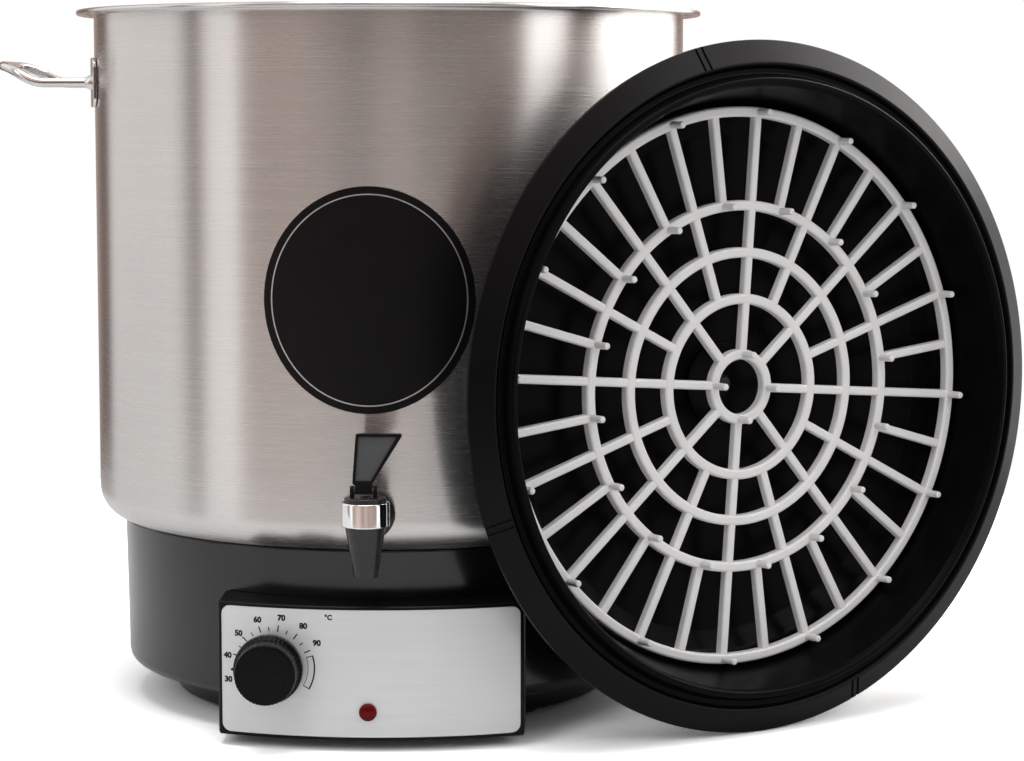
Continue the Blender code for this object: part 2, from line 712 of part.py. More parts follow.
def build_terminals(looks):
    width, depth, height = TERMINAL_SIZE
    x, y = TERMINAL_PLACE
    low = PAN_UNDERSIDE + PAN_WALL + GAP
    body = block(
        "terminal_block",
        (x - width / 2, y - depth / 2, low),
        (x + width / 2, y + depth / 2, low + height),
        looks["ceramic"],
    )
    for i in range(TERMINAL_WAYS):
        across = x + width * ((i + 0.5) / TERMINAL_WAYS - 0.5)
        bore = rod(
            f"terminal_bore_{i}", TERMINAL_BORE, -depth, depth, FINE_SEGMENTS,
            matrix=along_y(across, y, low + height / 2),
        )
        cut(body, bore)


def build_gland(looks):
    """The mains lead's gland at the back: collar and nose outside, nut inside."""
    place = round_z(180) @ along_y(0, 0, GLAND_HEIGHT)
    seat = base_radius(GLAND_HEIGHT + GLAND_COLLAR) + GAP
    collar_end = seat + GLAND_COLLAR_LENGTH
    thread_start = seat - GLAND_THREAD_LENGTH
    nose_end = collar_end + GLAND_NOSE_LENGTH
    profile = [
        (GLAND_BORE, thread_start),
        (GLAND_RADIUS, thread_start),
        (GLAND_RADIUS, seat),
        (GLAND_COLLAR, seat),
        (GLAND_COLLAR, collar_end),
        (GLAND_NOSE_RADIUS, collar_end),
        ((GLAND_BORE + GLAND_NOSE_RADIUS) / 2, nose_end),
        (GLAND_BORE, nose_end),
    ]
    turned("cable_gland", profile, SMALL_SEGMENTS, looks["plastic"], place)
    face = math.sqrt((BASE_BOTTOM_RADIUS - BASE_WALL) ** 2 - GLAND_NUT_RADIUS**2) - GAP
    bore = GLAND_RADIUS + GAP
    hexagon("gland_nut", GLAND_NUT_RADIUS, bore, face - GLAND_NUT_HEIGHT, face, looks["plastic"], place)


def front_outline(reach, half_width, back):
    """Plan of the control housing: a bowed front, straight sides and a back on a circle or a line."""
    radius = FRONT_RADIUS + reach - FRONT_REACH
    half_angle = math.degrees(math.asin(half_width / radius))
    front = arc((0, FRONT_CENTRE), radius, -90 - half_angle, -90 + half_angle, 16)
    if back is None:
        return front + [(half_width, 0), (-half_width, 0)]
    back_angle = math.degrees(math.asin(half_width / back))
    return front + arc((0, 0), back, -90 + back_angle, -90 - back_angle, 12)


def bowed_plate(name, inner, outer, half_width, low, high, corner, look=None):
    """A piece of the bowed front between two reaches, with round corners."""
    outer_radius = FRONT_RADIUS + outer - FRONT_REACH
    inner_radius = FRONT_RADIUS + inner - FRONT_REACH
    half_angle = math.degrees(math.asin((half_width + OVERRUN) / outer_radius))
    band = arc((0, FRONT_CENTRE), outer_radius, -90 - half_angle, -90 + half_angle, 16)
    band += arc((0, FRONT_CENTRE), inner_radius, -90 + half_angle, -90 - half_angle, 16)
    plate = extruded(name, band, low - OVERRUN, high + OVERRUN, look)
    outline = rounded_rectangle(half_width, low, high, corner)
    frame = extruded(f"{name}_outline", outline, 0, 2 * FRONT_REACH, matrix=along_y(0, 0, 0))
    boolean(plate, frame, "INTERSECT")
    return plate


def screw_seat(inside):
    """Distance from the axis to the base wall's inner or outer face at a housing screw."""
    return math.sqrt(inside**2 - BOSS_SIDE**2)


def screw_hole(side, name):
    return rod(
        f"{name}_screw_hole_{side}", SCREW_RADIUS + GAP, PAN_RADIUS - BASE_WALL - SCREW_LENGTH,
        screw_seat(BASE_TOP_RADIUS) + SCREW_LENGTH, FINE_SEGMENTS,
        matrix=along_y(side * BOSS_SIDE, 0, BOSS_HEIGHT),
    )


def inside_wall(radius, side):
    """How far out a facetted round wall's inner face stands at a sideways place."""
    return math.sqrt(radius**2 - side**2) - radius * (1 - math.cos(math.pi / LARGE_SEGMENTS))


def inside_corner(height):
    """How far out the pot's facetted inner corner stands at a height."""
    radius = POT_CORNER - POT_FLOOR
    below = max(0.0, POT_FLOOR_TOP + radius - height)
    sag = radius * (1 - math.cos(QUARTER_TURN / POT_CORNER_STEPS / 2))
    return POT_INSIDE - radius + math.sqrt(radius**2 - below**2) - sag


def base_radius(height):
    """The base shell's outer radius at a height, above its lower corner."""
    share = (height - BASE_UNDERSIDE - BASE_CORNER) / (BASE_TOP - BASE_UNDERSIDE - BASE_CORNER)
    return BASE_BOTTOM_RADIUS + share * (BASE_TOP_RADIUS - BASE_BOTTOM_RADIUS)


def front_at(side, reach=FRONT_REACH):
    """How far out the bowed front stands at a sideways place."""
    radius = FRONT_RADIUS + reach - FRONT_REACH
    return math.sqrt(radius**2 - side**2) - FRONT_CENTRE


def build_housing(looks):
    back = base_radius(HOUSING_TOP) + GAP
    outer = front_outline(FRONT_REACH, HOUSING_HALF_WIDTH, back)
    housing = extruded("control_housing", outer, HOUSING_UNDERSIDE, HOUSING_TOP, looks["plastic"])
    edge = housing.modifiers.new("edges", "BEVEL")
    edge.width = HOUSING_EDGE
    edge.segments = 2
    edge.limit_method = "ANGLE"
    edge.angle_limit = math.radians(50)

    inner = front_outline(HOLLOW_REACH, HOUSING_HALF_WIDTH - HOUSING_WALL, None)
    hollow = extruded("housing_hollow", inner, HOUSING_UNDERSIDE + HOUSING_WALL, HOUSING_TOP - HOUSING_WALL)
    for side in (-1, 1):
        keep = rod(
            f"housing_boss_{side}", BOSS_RADIUS, -OVERRUN, HOLLOW_REACH + OVERRUN, SMALL_SEGMENTS,
            matrix=along_y(side * BOSS_SIDE, 0, BOSS_HEIGHT),
        )
        cut(hollow, keep)
    cut(housing, hollow)
    for side in (-1, 1):
        cut(housing, screw_hole(side, "housing"))
    cut(
        housing,
        bowed_plate(
            "panel_pocket", PANEL_BACK - GAP, FRONT_REACH + OVERRUN,
            HOUSING_HALF_WIDTH - PANEL_MARGIN + GAP,
            HOUSING_UNDERSIDE + PANEL_MARGIN - GAP, HOUSING_TOP - PANEL_MARGIN + GAP, PANEL_CORNER + GAP,
        ),
    )
    panel = bowed_plate(
        "control_panel", PANEL_BACK, PANEL_BACK + PANEL_THICKNESS,
        HOUSING_HALF_WIDTH - PANEL_MARGIN,
        HOUSING_UNDERSIDE + PANEL_MARGIN, HOUSING_TOP - PANEL_MARGIN, PANEL_CORNER, looks["panel"],
    )
    holes = {
        "bush": (DIAL_SIDE, DIAL_HEIGHT, BUSH_RADIUS + GAP),
        "lamp": (LAMP_SIDE, LAMP_HEIGHT, LENS_STEM + GAP),
    }
    for name, (x, z, radius) in holes.items():
        for target in (housing, panel):
            hole = rod(
                f"{target.name}_{name}_hole", radius, BASE_TOP_RADIUS - HOUSING_WALL, FRONT_REACH + OVERRUN,
                SMALL_SEGMENTS, matrix=along_y(x, 0, z),
            )
            cut(target, hole)

    for number, side in enumerate((-1, 1), 1):
        face = screw_seat(BASE_BOTTOM_RADIUS - BASE_WALL) - 2 * SCREW_HEAD * BOSS_SIDE / BASE_TOP_RADIUS
        profile = [
            (0, face - SCREW_HEAD_HEIGHT),
            (SCREW_HEAD, face - SCREW_HEAD_HEIGHT),
            (SCREW_HEAD, face),
            (SCREW_RADIUS, face),
            (SCREW_RADIUS, face + SCREW_LENGTH),
            (0, face + SCREW_LENGTH),
        ]
        place = along_y(side * BOSS_SIDE, 0, BOSS_HEIGHT)
        turned(f"housing_screw_{number}", profile, FINE_SEGMENTS, looks["zinc"], place)


def build_thermostat(looks):
    face = front_at(abs(DIAL_SIDE) + THERMOSTAT_WIDTH / 2, HOLLOW_REACH) - GAP
    back = face - THERMOSTAT_DEPTH
    low = DIAL_HEIGHT - THERMOSTAT_HEIGHT / 2
    body = block(
        "thermostat_body",
        (DIAL_SIDE - THERMOSTAT_WIDTH / 2, -face, low),
        (DIAL_SIDE + THERMOSTAT_WIDTH / 2, -back, low + THERMOSTAT_HEIGHT),
        looks["ceramic"],
    )
    place = along_y(DIAL_SIDE, 0, DIAL_HEIGHT)
    nut_seat = front_at(abs(DIAL_SIDE) - BUSH_NUT_RADIUS) + GAP
    bush_end = nut_seat + BUSH_NUT_HEIGHT
    bush_start = back + THERMOSTAT_DEPTH / 2
    join(body, rod("thermostat_bush", BUSH_RADIUS, bush_start, bush_end, SMALL_SEGMENTS, matrix=place))
    bore_start = back + THERMOSTAT_DEPTH / 4
    bore = SHAFT_RADIUS + RUNNING
    cut(body, rod("thermostat_bore", bore, bore_start, bush_end + OVERRUN, SMALL_SEGMENTS, matrix=place))
    hexagon("thermostat_nut", BUSH_NUT_RADIUS, BUSH_RADIUS + GAP, nut_seat, bush_end, looks["zinc"], place)

    knob_back = front_at(abs(DIAL_SIDE) - KNOB_RADIUS) + KNOB_STAND_OFF
    shaft_end = knob_back + KNOB_SOCKET
    shaft = rod(
        "thermostat_shaft", SHAFT_RADIUS, bore_start + GAP, shaft_end - GAP, SMALL_SEGMENTS, looks["zinc"],
        place,
    )
    flat = SHAFT_RADIUS - SHAFT_FLAT / 2
    flat_start = bush_end + GAP
    cut(
        shaft,
        block(
            "shaft_flat", (-OVERRUN, flat, flat_start), (OVERRUN, flat + OVERRUN, shaft_end + OVERRUN),
            matrix=place,
        ),
    )

    knob_end = knob_back + KNOB_DEPTH
    skirt = knob_back + KNOB_SKIRT
    ribs = turns(2 * KNOB_RIBS)
    bm = bmesh.new()
    rings = []
    levels = [
        (knob_back, KNOB_RADIUS, 0),
        (skirt, KNOB_RADIUS, KNOB_RIB_DEPTH),
        (knob_end - KNOB_FACE_EDGE, KNOB_FACE_RADIUS, KNOB_RIB_DEPTH),
        (knob_end, KNOB_FACE_RADIUS - KNOB_FACE_EDGE, 0),
    ]
    for height, radius, depth in levels:
        ring = []
        for i, a in enumerate(ribs):
            r = radius - depth * (i % 2)
            ring.append(bm.verts.new((r * math.cos(a), r * math.sin(a), height)))
        rings.append(ring)
    for lower, upper in zip(rings, rings[1:]):
        for i in range(len(ribs)):
            j = (i + 1) % len(ribs)
            bm.faces.new((lower[i], lower[j], upper[j], upper[i]))
    bm.faces.new(list(reversed(rings[0])))
    bm.faces.new(rings[-1])
    knob = add_object("control_knob", bm, looks["gloss"], place)
    hollow = BUSH_NUT_RADIUS + RUNNING
    hollow_end = bush_end + RUNNING
    cut(knob, rod("knob_hollow", hollow, knob_back - OVERRUN, hollow_end, SMALL_SEGMENTS, matrix=place))
    socket = rod("knob_socket", SHAFT_RADIUS + GAP, knob_back, shaft_end, SMALL_SEGMENTS, matrix=place)
    socket_flat = flat + GAP
    cut(
        socket,
        block(
            "socket_flat", (-OVERRUN, socket_flat, bush_end + RUNNING + GAP),
            (OVERRUN, socket_flat + OVERRUN, shaft_end + OVERRUN), matrix=place,
        ),
    )
    cut(knob, socket)
    nub = [
        (-KNOB_RADIUS + POINTER_LENGTH, -POINTER_WIDTH / 2),
        (-KNOB_RADIUS + POINTER_LENGTH, POINTER_WIDTH / 2),
        (-KNOB_RADIUS - POINTER_LENGTH, 0),
    ]
    join(knob, extruded("knob_pointer", nub, knob_back + GAP, knob_back + POINTER_HEIGHT, matrix=place))
    return face, back


def build_sensor(looks, thermostat_face, thermostat_back):
    """The thermostat's bulb, held under the spreader, and the capillary that leads to it."""
    start = -BULB_LENGTH / 2
    bulb_place = Matrix.Translation((0, BULB_PLACE, BULB_AXIS)) @ Matrix.Rotation(QUARTER_TURN, 4, "Y")
    rod("sensor_bulb", BULB_RADIUS, start, -start, FINE_SEGMENTS, looks["copper"], bulb_place)

    inner = BULB_RADIUS + GAP
    outer = inner + CLIP_SHEET
    top = SPREADER_UNDERSIDE - GAP - BULB_AXIS
    foot = outer + CLIP_FOOT
    outline = [(-foot, top), (-foot, top - CLIP_SHEET), (-outer, top - CLIP_SHEET)]
    outline += arc((0, 0), outer, 180, 360, 6)
    outline += [(outer, top - CLIP_SHEET), (foot, top - CLIP_SHEET), (foot, top), (inner, top)]
    outline += arc((0, 0), inner, 360, 180, 6)
    outline += [(-inner, top)]
    clip_place = Matrix.Translation((0, BULB_PLACE, BULB_AXIS)) @ Matrix(
        ((0, 0, 1, 0), (1, 0, 0, 0), (0, 1, 0, 0), (0, 0, 0, 1))
    )
    extruded("bulb_clip", outline, -CLIP_WIDTH / 2, CLIP_WIDTH / 2, looks["zinc"], clip_place)

    exit_x = DIAL_SIDE + THERMOSTAT_WIDTH / 4
    exit_y = -(thermostat_face + thermostat_back) / 2
    exit_z = DIAL_HEIGHT + THERMOSTAT_HEIGHT / 2 + GAP
    lift = CLIP_FOOT
    bulb_end = start - GAP
    window_edge = -WINDOW_HALF_WIDTH + lift
    under = WINDOW_HIGH - lift / 2
    points = [
        (exit_x, exit_y, exit_z),
        (exit_x, exit_y, exit_z + lift / 2),
        (exit_x + lift, exit_y, under),
        (window_edge, -BASE_TOP_RADIUS, under),
        (window_edge, -BASE_TOP_RADIUS + 2 * lift, under),
        (window_edge - lift, BULB_PLACE - lift / 2, (under + BULB_AXIS) / 2),
        (bulb_end - 2 * lift, BULB_PLACE - lift / 4, BULB_AXIS - lift),
        (bulb_end - lift, BULB_PLACE, BULB_AXIS - lift / 8),
        (bulb_end, BULB_PLACE, BULB_AXIS),
    ]
    tube("capillary_tube", smooth_path(points, 4), CAPILLARY_RADIUS, looks["copper"], 1)


def build_lamp(looks):
    place = along_y(LAMP_SIDE, 0, LAMP_HEIGHT)
    seat = PANEL_BACK + PANEL_THICKNESS + GAP
    stem_end = seat - LENS_STEM_LENGTH
    profile = [(0, stem_end), (LENS_STEM, stem_end), (LENS_STEM, seat), (LENS_RADIUS, seat)]
    rise = seat + LENS_FLANGE
    profile += [
        (LENS_RADIUS * math.cos(a), rise + LENS_RISE * math.sin(a))
        for a in (i * QUARTER_TURN / 4 for i in range(4))
    ]
    profile += [(0, rise + LENS_RISE)]
    turned("pilot_lens", profile, SMALL_SEGMENTS, looks["red"], place)
    start = stem_end - GAP - LAMP_BODY_LENGTH
    wall = HOLLOW_REACH - 3 * GAP
    profile = [
        (0, start),
        (LAMP_BODY_RADIUS, start),
        (LAMP_BODY_RADIUS, wall),
        (LENS_STEM + 2 * GAP, wall),
        (LENS_STEM + 2 * GAP, stem_end - GAP),
        (0, stem_end - GAP),
    ]
    turned("pilot_lamp", profile, SMALL_SEGMENTS, looks["ceramic"], place)


def build_tap(looks):
    upright = Matrix.Translation((0, TAP_AXIS, 0))
    lying = tap_shank()
    wall_inside = POT_INSIDE
    washer = POT_RADIUS + GAP
    flange = washer + WASHER_THICKNESS + GAP

    thread_start = wall_inside - SHANK_INSIDE
    profile = [
        (0, thread_start),
        (SHANK_RADIUS, thread_start),
        (SHANK_RADIUS, flange),
        (FLANGE_RADIUS, flange),
        (FLANGE_RADIUS, flange + FLANGE_THICKNESS),
        (SHANK_RADIUS, flange + 2 * FLANGE_THICKNESS),
        (SHANK_RADIUS, -TAP_AXIS),
        (0, -TAP_AXIS),
    ]
    body = turned("tap_body", profile, SMALL_SEGMENTS, looks["plastic"], lying)
    bonnet_low = BONNET_TOP - BONNET_THICKNESS
    profile = [
        (0, SPOUT_TIP),
        (SPOUT_TIP_RADIUS, SPOUT_TIP),
        (SPOUT_TOP_RADIUS, SPOUT_TOP),
        (BARREL_RADIUS, SPOUT_TOP + GAP),
        (BARREL_RADIUS, bonnet_low - GAP),
        (0, bonnet_low - GAP),
    ]
    join(body, turned("tap_barrel", profile, SMALL_SEGMENTS, matrix=upright))
    profile = [
        (0, SPOUT_TIP - OVERRUN),
        (OUTLET_BORE, SPOUT_TIP - OVERRUN),
        (OUTLET_BORE, CHAMBER_FLOOR),
        (CHAMBER_RADIUS, CHAMBER_FLOOR + GAP),
        (CHAMBER_RADIUS, bonnet_low + OVERRUN),
        (0, bonnet_low + OVERRUN),
    ]
    cut(body, turned("tap_bore", profile, SMALL_SEGMENTS, matrix=upright))
    inlet = rod(
        "tap_inlet", WATER_BORE, thread_start - OVERRUN, -TAP_AXIS, SMALL_SEGMENTS, matrix=lying
    )
    cut(body, inlet)

    profile = [(SHANK_RADIUS + GAP, washer), (FLANGE_RADIUS, washer)]
    profile += [(FLANGE_RADIUS, washer + WASHER_THICKNESS), (SHANK_RADIUS + GAP, washer + WASHER_THICKNESS)]
    turned("tap_washer", profile, SMALL_SEGMENTS, looks["rubber"], lying)
    wall = min(inside_wall(POT_INSIDE, SEAL_RADIUS), inside_corner(TAP_HEIGHT - SEAL_RADIUS))
    seal = wall - GAP - SEAL_THICKNESS
    profile = [(SHANK_RADIUS + GAP, seal), (SEAL_RADIUS, seal)]
    profile += [(SEAL_RADIUS, seal + SEAL_THICKNESS), (SHANK_RADIUS + GAP, seal + SEAL_THICKNESS)]
    turned("tap_seal", profile, SMALL_SEGMENTS, looks["rubber"], lying)
    nut_end = seal - GAP
    hexagon(
        "tap_nut", TAP_NUT_RADIUS, SHANK_RADIUS + GAP, nut_end - TAP_NUT_HEIGHT, nut_end,
        looks["plastic"], lying,
    )

    profile = [(BARREL_RADIUS + GAP, SPOUT_TOP), (COLLAR_RADIUS - COLLAR_EDGE, SPOUT_TOP)]
    profile += [(COLLAR_RADIUS, SPOUT_TOP + COLLAR_EDGE), (COLLAR_RADIUS, COLLAR_TOP - COLLAR_EDGE)]
    profile += [(COLLAR_RADIUS - COLLAR_EDGE, COLLAR_TOP), (BARREL_RADIUS + GAP, COLLAR_TOP)]
    collar = turned("tap_collar", profile, MEDIUM_SEGMENTS, looks["chrome"], upright)
    neck_clear = SHANK_RADIUS + GAP
    notch = rod(
        "collar_notch", neck_clear, POT_RADIUS, -TAP_AXIS, SMALL_SEGMENTS, matrix=lying
    )
    cut(collar, notch)

    profile = [(STEM_RADIUS + RUNNING, bonnet_low), (BARREL_RADIUS, bonnet_low)]
    profile += [(BARREL_RADIUS, BONNET_TOP - GAP), (BARREL_RADIUS - GAP, BONNET_TOP)]
    profile += [(STEM_RADIUS + RUNNING, BONNET_TOP)]
    bonnet = turned("tap_bonnet", profile, SMALL_SEGMENTS, looks["plastic"], upright)
    ear_inside = {-1: LEVER_NECK_LEFT - RUNNING, 1: LEVER_NECK_RIGHT + RUNNING}
    for side, inside in ear_inside.items():
        outside = inside + side * EAR_THICKNESS
        ear = block(
            f"tap_ear_{side}",
            (min(inside, outside), -EAR_DEPTH / 2, BONNET_TOP - BONNET_THICKNESS / 2),
            (max(inside, outside), EAR_DEPTH / 2, BONNET_TOP + EAR_HEIGHT),
            matrix=upright,
        )
        join(bonnet, ear)
    pin_place = Matrix.Translation((0, TAP_AXIS, PIN_HEIGHT)) @ Matrix.Rotation(QUARTER_TURN, 4, "Y")
    pin_low = ear_inside[-1] - EAR_THICKNESS
    pin_high = ear_inside[1] + EAR_THICKNESS
    ear_bore = rod(
        "ear_bore", PIN_RADIUS + GAP, pin_low - OVERRUN, pin_high + OVERRUN, FINE_SEGMENTS, matrix=pin_place
    )
    cut(bonnet, ear_bore)
    rod("tap_pin", PIN_RADIUS, pin_low, pin_high, FINE_SEGMENTS, looks["zinc"], pin_place)

    build_lever(looks, pin_place, pin_low, pin_high)

    plug_top = CHAMBER_FLOOR + 2 * GAP + PLUG_HEIGHT
    stem_top = bonnet_low + STEM_ENTRY
    profile = [
        (0, CHAMBER_FLOOR + 2 * GAP),
        (PLUG_RADIUS, CHAMBER_FLOOR + 2 * GAP),
        (PLUG_RADIUS, plug_top),
        (STEM_RADIUS, plug_top),
        (STEM_RADIUS, stem_top),
        (0, stem_top),
    ]
    turned("tap_plunger", profile, SMALL_SEGMENTS, looks["rubber"], upright)
    spring_low = plug_top + GAP
    spring_high = bonnet_low - GAP
    profile = [
        (SPRING_RADIUS - SPRING_WIRE, spring_low),
        (SPRING_RADIUS + SPRING_WIRE, spring_low),
        (SPRING_RADIUS + SPRING_WIRE, spring_high),
        (SPRING_RADIUS - SPRING_WIRE, spring_high),
    ]
    turned("tap_spring", profile, SMALL_SEGMENTS, looks["polished"], upright)


def build_lever(looks, pin_place, pin_low, pin_high):
    """The tap's lever: a neck on the pin, and a paddle with one flared side and a recessed face."""
    place = Matrix.Translation((0, TAP_AXIS, 0)) @ Matrix.Rotation(QUARTER_TURN, 4, "X")
    outline = [
        (LEVER_NECK_LEFT, LEVER_FOOT),
        (LEVER_NECK_RIGHT, LEVER_FOOT),
        (LEVER_NECK_RIGHT, LEVER_NECK_TOP),
        (PADDLE_TOP_RIGHT, PADDLE_TOP - PADDLE_EDGE),
        (PADDLE_TOP_RIGHT - PADDLE_EDGE, PADDLE_TOP),
        (PADDLE_TOP_LEFT, PADDLE_TOP),
        (PADDLE_LEFT, LEVER_NECK_TOP),
        (LEVER_NECK_LEFT, LEVER_NECK_TOP - PADDLE_EDGE),
    ]
    half_depth = LEVER_NECK_DEPTH / 2
    lever = extruded("tap_lever", outline, -half_depth, half_depth, looks["plastic"], place)
    slope = (PADDLE_TOP_RIGHT - LEVER_NECK_RIGHT) / (PADDLE_TOP - LEVER_NECK_TOP)
    side_edge = PADDLE_EDGE * math.sqrt(1 + slope**2)
    low = LEVER_NECK_TOP + PADDLE_EDGE
    high = PADDLE_TOP - PADDLE_EDGE
    inset = [
        (PADDLE_LEFT + PADDLE_EDGE, low),
        (LEVER_NECK_RIGHT + slope * PADDLE_EDGE - side_edge, low),
        (PADDLE_TOP_RIGHT - slope * PADDLE_EDGE - side_edge, high),
        (PADDLE_TOP_LEFT + PADDLE_EDGE, high),
    ]
    front = LEVER_NECK_DEPTH / 2
    cut(lever, extruded("paddle_recess", inset, front - PADDLE_RECESS, front + OVERRUN, matrix=place))
    web = front - PADDLE_RECESS - PADDLE_WEB
    cut(lever, extruded("paddle_back", inset, -front - OVERRUN, web, matrix=place))
    bore = rod("lever_bore", PIN_RADIUS + RUNNING, pin_low, pin_high, FINE_SEGMENTS, matrix=pin_place)
    cut(lever, bore)


def lid_matrix():
    """The lid's own frame: X level along the lid, Y up its face, Z out of its inside."""
    level_out = Vector((math.sin(LID_FACING), -math.cos(LID_FACING), 0))
    along = Vector((math.cos(LID_FACING), math.sin(LID_FACING), 0))
    out = level_out * math.cos(LID_LEAN) + Vector((0, 0, math.sin(LID_LEAN)))
    up = out.cross(along)
    knob_edge = LID_SIDE - LID_KNOB_TOP_RADIUS
    wall = math.sqrt(POT_RADIUS**2 - knob_edge**2)
    lean_back = LID_KNOB_TOP_RADIUS * math.sin(LID_LEAN)
    distance = wall + LID_KNOB_END * math.cos(LID_LEAN) + lean_back + GAP
    height = LID_RADIUS * math.cos(LID_LEAN) + LID_WALL * math.sin(LID_LEAN) + GAP
    centre = level_out * distance + along * LID_SIDE + Vector((0, 0, height))
    frame = Matrix((along, up, out)).transposed().to_4x4()
    return Matrix.Translation(centre) @ frame


def build_lid(looks):
    place = lid_matrix()
    wall = LID_WALL
    boss = LID_BOSS_RADIUS
    spigot_inside = LID_SPIGOT_RADIUS - wall
    channel = (LID_SPIGOT_RADIUS + LID_RIDGE_RADIUS) / 2
    bore = LID_SCREW_RADIUS + GAP
    inside = [
        (bore, -LID_DEPTH + LID_BOSS_HEIGHT),
        (boss, -LID_DEPTH + LID_BOSS_HEIGHT),
        (boss + GAP, -LID_DEPTH),
        (LID_CROWN_RADIUS, -LID_CROWN_DEPTH),
        (LID_SHOULDER_RADIUS, -LID_SHOULDER_DEPTH),
        (LID_SEAT_RADIUS, -LID_SEAT_DEPTH),
        (spigot_inside - wall / 2, LID_SPIGOT - wall),
        (spigot_inside, LID_SPIGOT),
        (LID_SPIGOT_RADIUS, LID_SPIGOT),
        (channel - wall / 2, LID_CHANNEL),
        (channel + wall / 2, LID_CHANNEL),
        (LID_RIDGE_RADIUS, LID_RIDGE),
        (LID_RADIUS, 0),
    ]
    outside = [
        (LID_RADIUS, -wall),
        (LID_RIDGE_RADIUS, LID_RIDGE - wall * 1.1),
        (channel, LID_CHANNEL - wall),
        (spigot_inside + wall / 2, -wall),
        (LID_SEAT_RADIUS + wall, -LID_SEAT_DEPTH - wall / 3),
        (LID_SHOULDER_RADIUS + wall * 0.8, -LID_SHOULDER_DEPTH - wall),
        (LID_CROWN_RADIUS + wall / 3, -LID_CROWN_DEPTH - wall),
        (LID_KNOB_FOOT, -LID_BACK),
        (bore, -LID_BACK),
    ]
    turned("lid_shell", inside + outside, LARGE_SEGMENTS, looks["lid"], place)

    foot = -LID_BACK - GAP
    end = foot - LID_KNOB_HEIGHT
    screw_end = -LID_DEPTH + LID_BOSS_HEIGHT - LID_SCREW_LENGTH
    profile = [
        (bore, foot),
        (LID_KNOB_FOOT, foot),
        (LID_KNOB_NECK, foot - LID_KNOB_HEIGHT * 0.3),
        (LID_KNOB_NECK + GAP, foot - LID_KNOB_HEIGHT * 0.45),
        (LID_KNOB_RADIUS, foot - LID_KNOB_HEIGHT * 0.72),
        (LID_KNOB_RADIUS, end + LID_KNOB_HEIGHT * 0.12),
        (LID_KNOB_TOP_RADIUS, end),
        (0, end),
        (0, screw_end - GAP),
        (bore, screw_end - GAP),
    ]
    turned("lid_knob", profile, MEDIUM_SEGMENTS, looks["gloss"], place)
    seat = -LID_DEPTH + LID_BOSS_HEIGHT + GAP
    profile = [
        (0, seat + LID_SCREW_HEAD_HEIGHT),
        (LID_SCREW_HEAD * 0.6, seat + LID_SCREW_HEAD_HEIGHT),
        (LID_SCREW_HEAD, seat),
        (LID_SCREW_RADIUS, seat),
        (LID_SCREW_RADIUS, screw_end),
        (0, screw_end),
    ]
    turned("lid_screw", profile, FINE_SEGMENTS, looks["zinc"], place)


def build_rack(looks):
    """A round grid: five rings, spokes that fork outwards, and feet on its front."""
    back = -RACK_DEPTH - RACK_THICKNESS
    outer = RACK_RINGS[-1] + RACK_RING_WIDTH / 2
    share = (RACK_DEPTH + RACK_THICKNESS - LID_SEAT_DEPTH) / (LID_SHOULDER_DEPTH - LID_SEAT_DEPTH)
    wall = LID_SEAT_RADIUS + share * (LID_SHOULDER_RADIUS - LID_SEAT_RADIUS)
    drop = wall * math.cos(math.pi / LARGE_SEGMENTS) - outer - GAP
    place = lid_matrix() @ Matrix.Translation((0, -drop, 0)) @ Matrix.Rotation(RACK_TURN, 4, "Z")
    rack = None
    half = RACK_RING_WIDTH / 2
    for number, (radius, segments) in enumerate(zip(RACK_RINGS, RACK_RING_SEGMENTS)):
        profile = [(radius - half, back), (radius + half, back)]
        profile += [(radius + half, -RACK_DEPTH), (radius - half, -RACK_DEPTH)]
        name = f"rack_ring_{number}"
        if rack is None:
            rack = turned("rack", profile, segments, looks["rack"], place)
        else:
            join(rack, turned(name, profile, segments, matrix=place))
    rim = (RACK_THICKNESS - RACK_BAR_THICKNESS) / 2
    starts = {0: RACK_RINGS[0], 2: RACK_RINGS[1], 1: RACK_RINGS[3], 3: RACK_RINGS[3]}
    pins = []
    for number, angle in enumerate(turns(RACK_SPOKES)):
        start = starts[number % 4]
        bar = block(
            f"rack_bar_{number}",
            (start, -RACK_BAR_WIDTH / 2, back + rim),
            (RACK_RINGS[-1], RACK_BAR_WIDTH / 2, -RACK_DEPTH - rim),
            matrix=place @ Matrix.Rotation(angle, 4, "Z"),
        )
        join(rack, bar)
        pins.append((RACK_RINGS[-1] if number % 2 == 0 else RACK_RINGS[3], angle))
    pins += [(RACK_RINGS[0], angle) for angle in turns(HUB_PINS)]
    for number, (radius, angle) in enumerate(pins):
        spot = place @ Matrix.Rotation(angle, 4, "Z") @ Matrix.Translation((radius, 0, 0))
        pin = rod(
            f"rack_pin_{number}", RACK_PIN_RADIUS, back + half, -RACK_DEPTH + RACK_PIN_LENGTH, 6, matrix=spot
        )
        join(rack, pin)


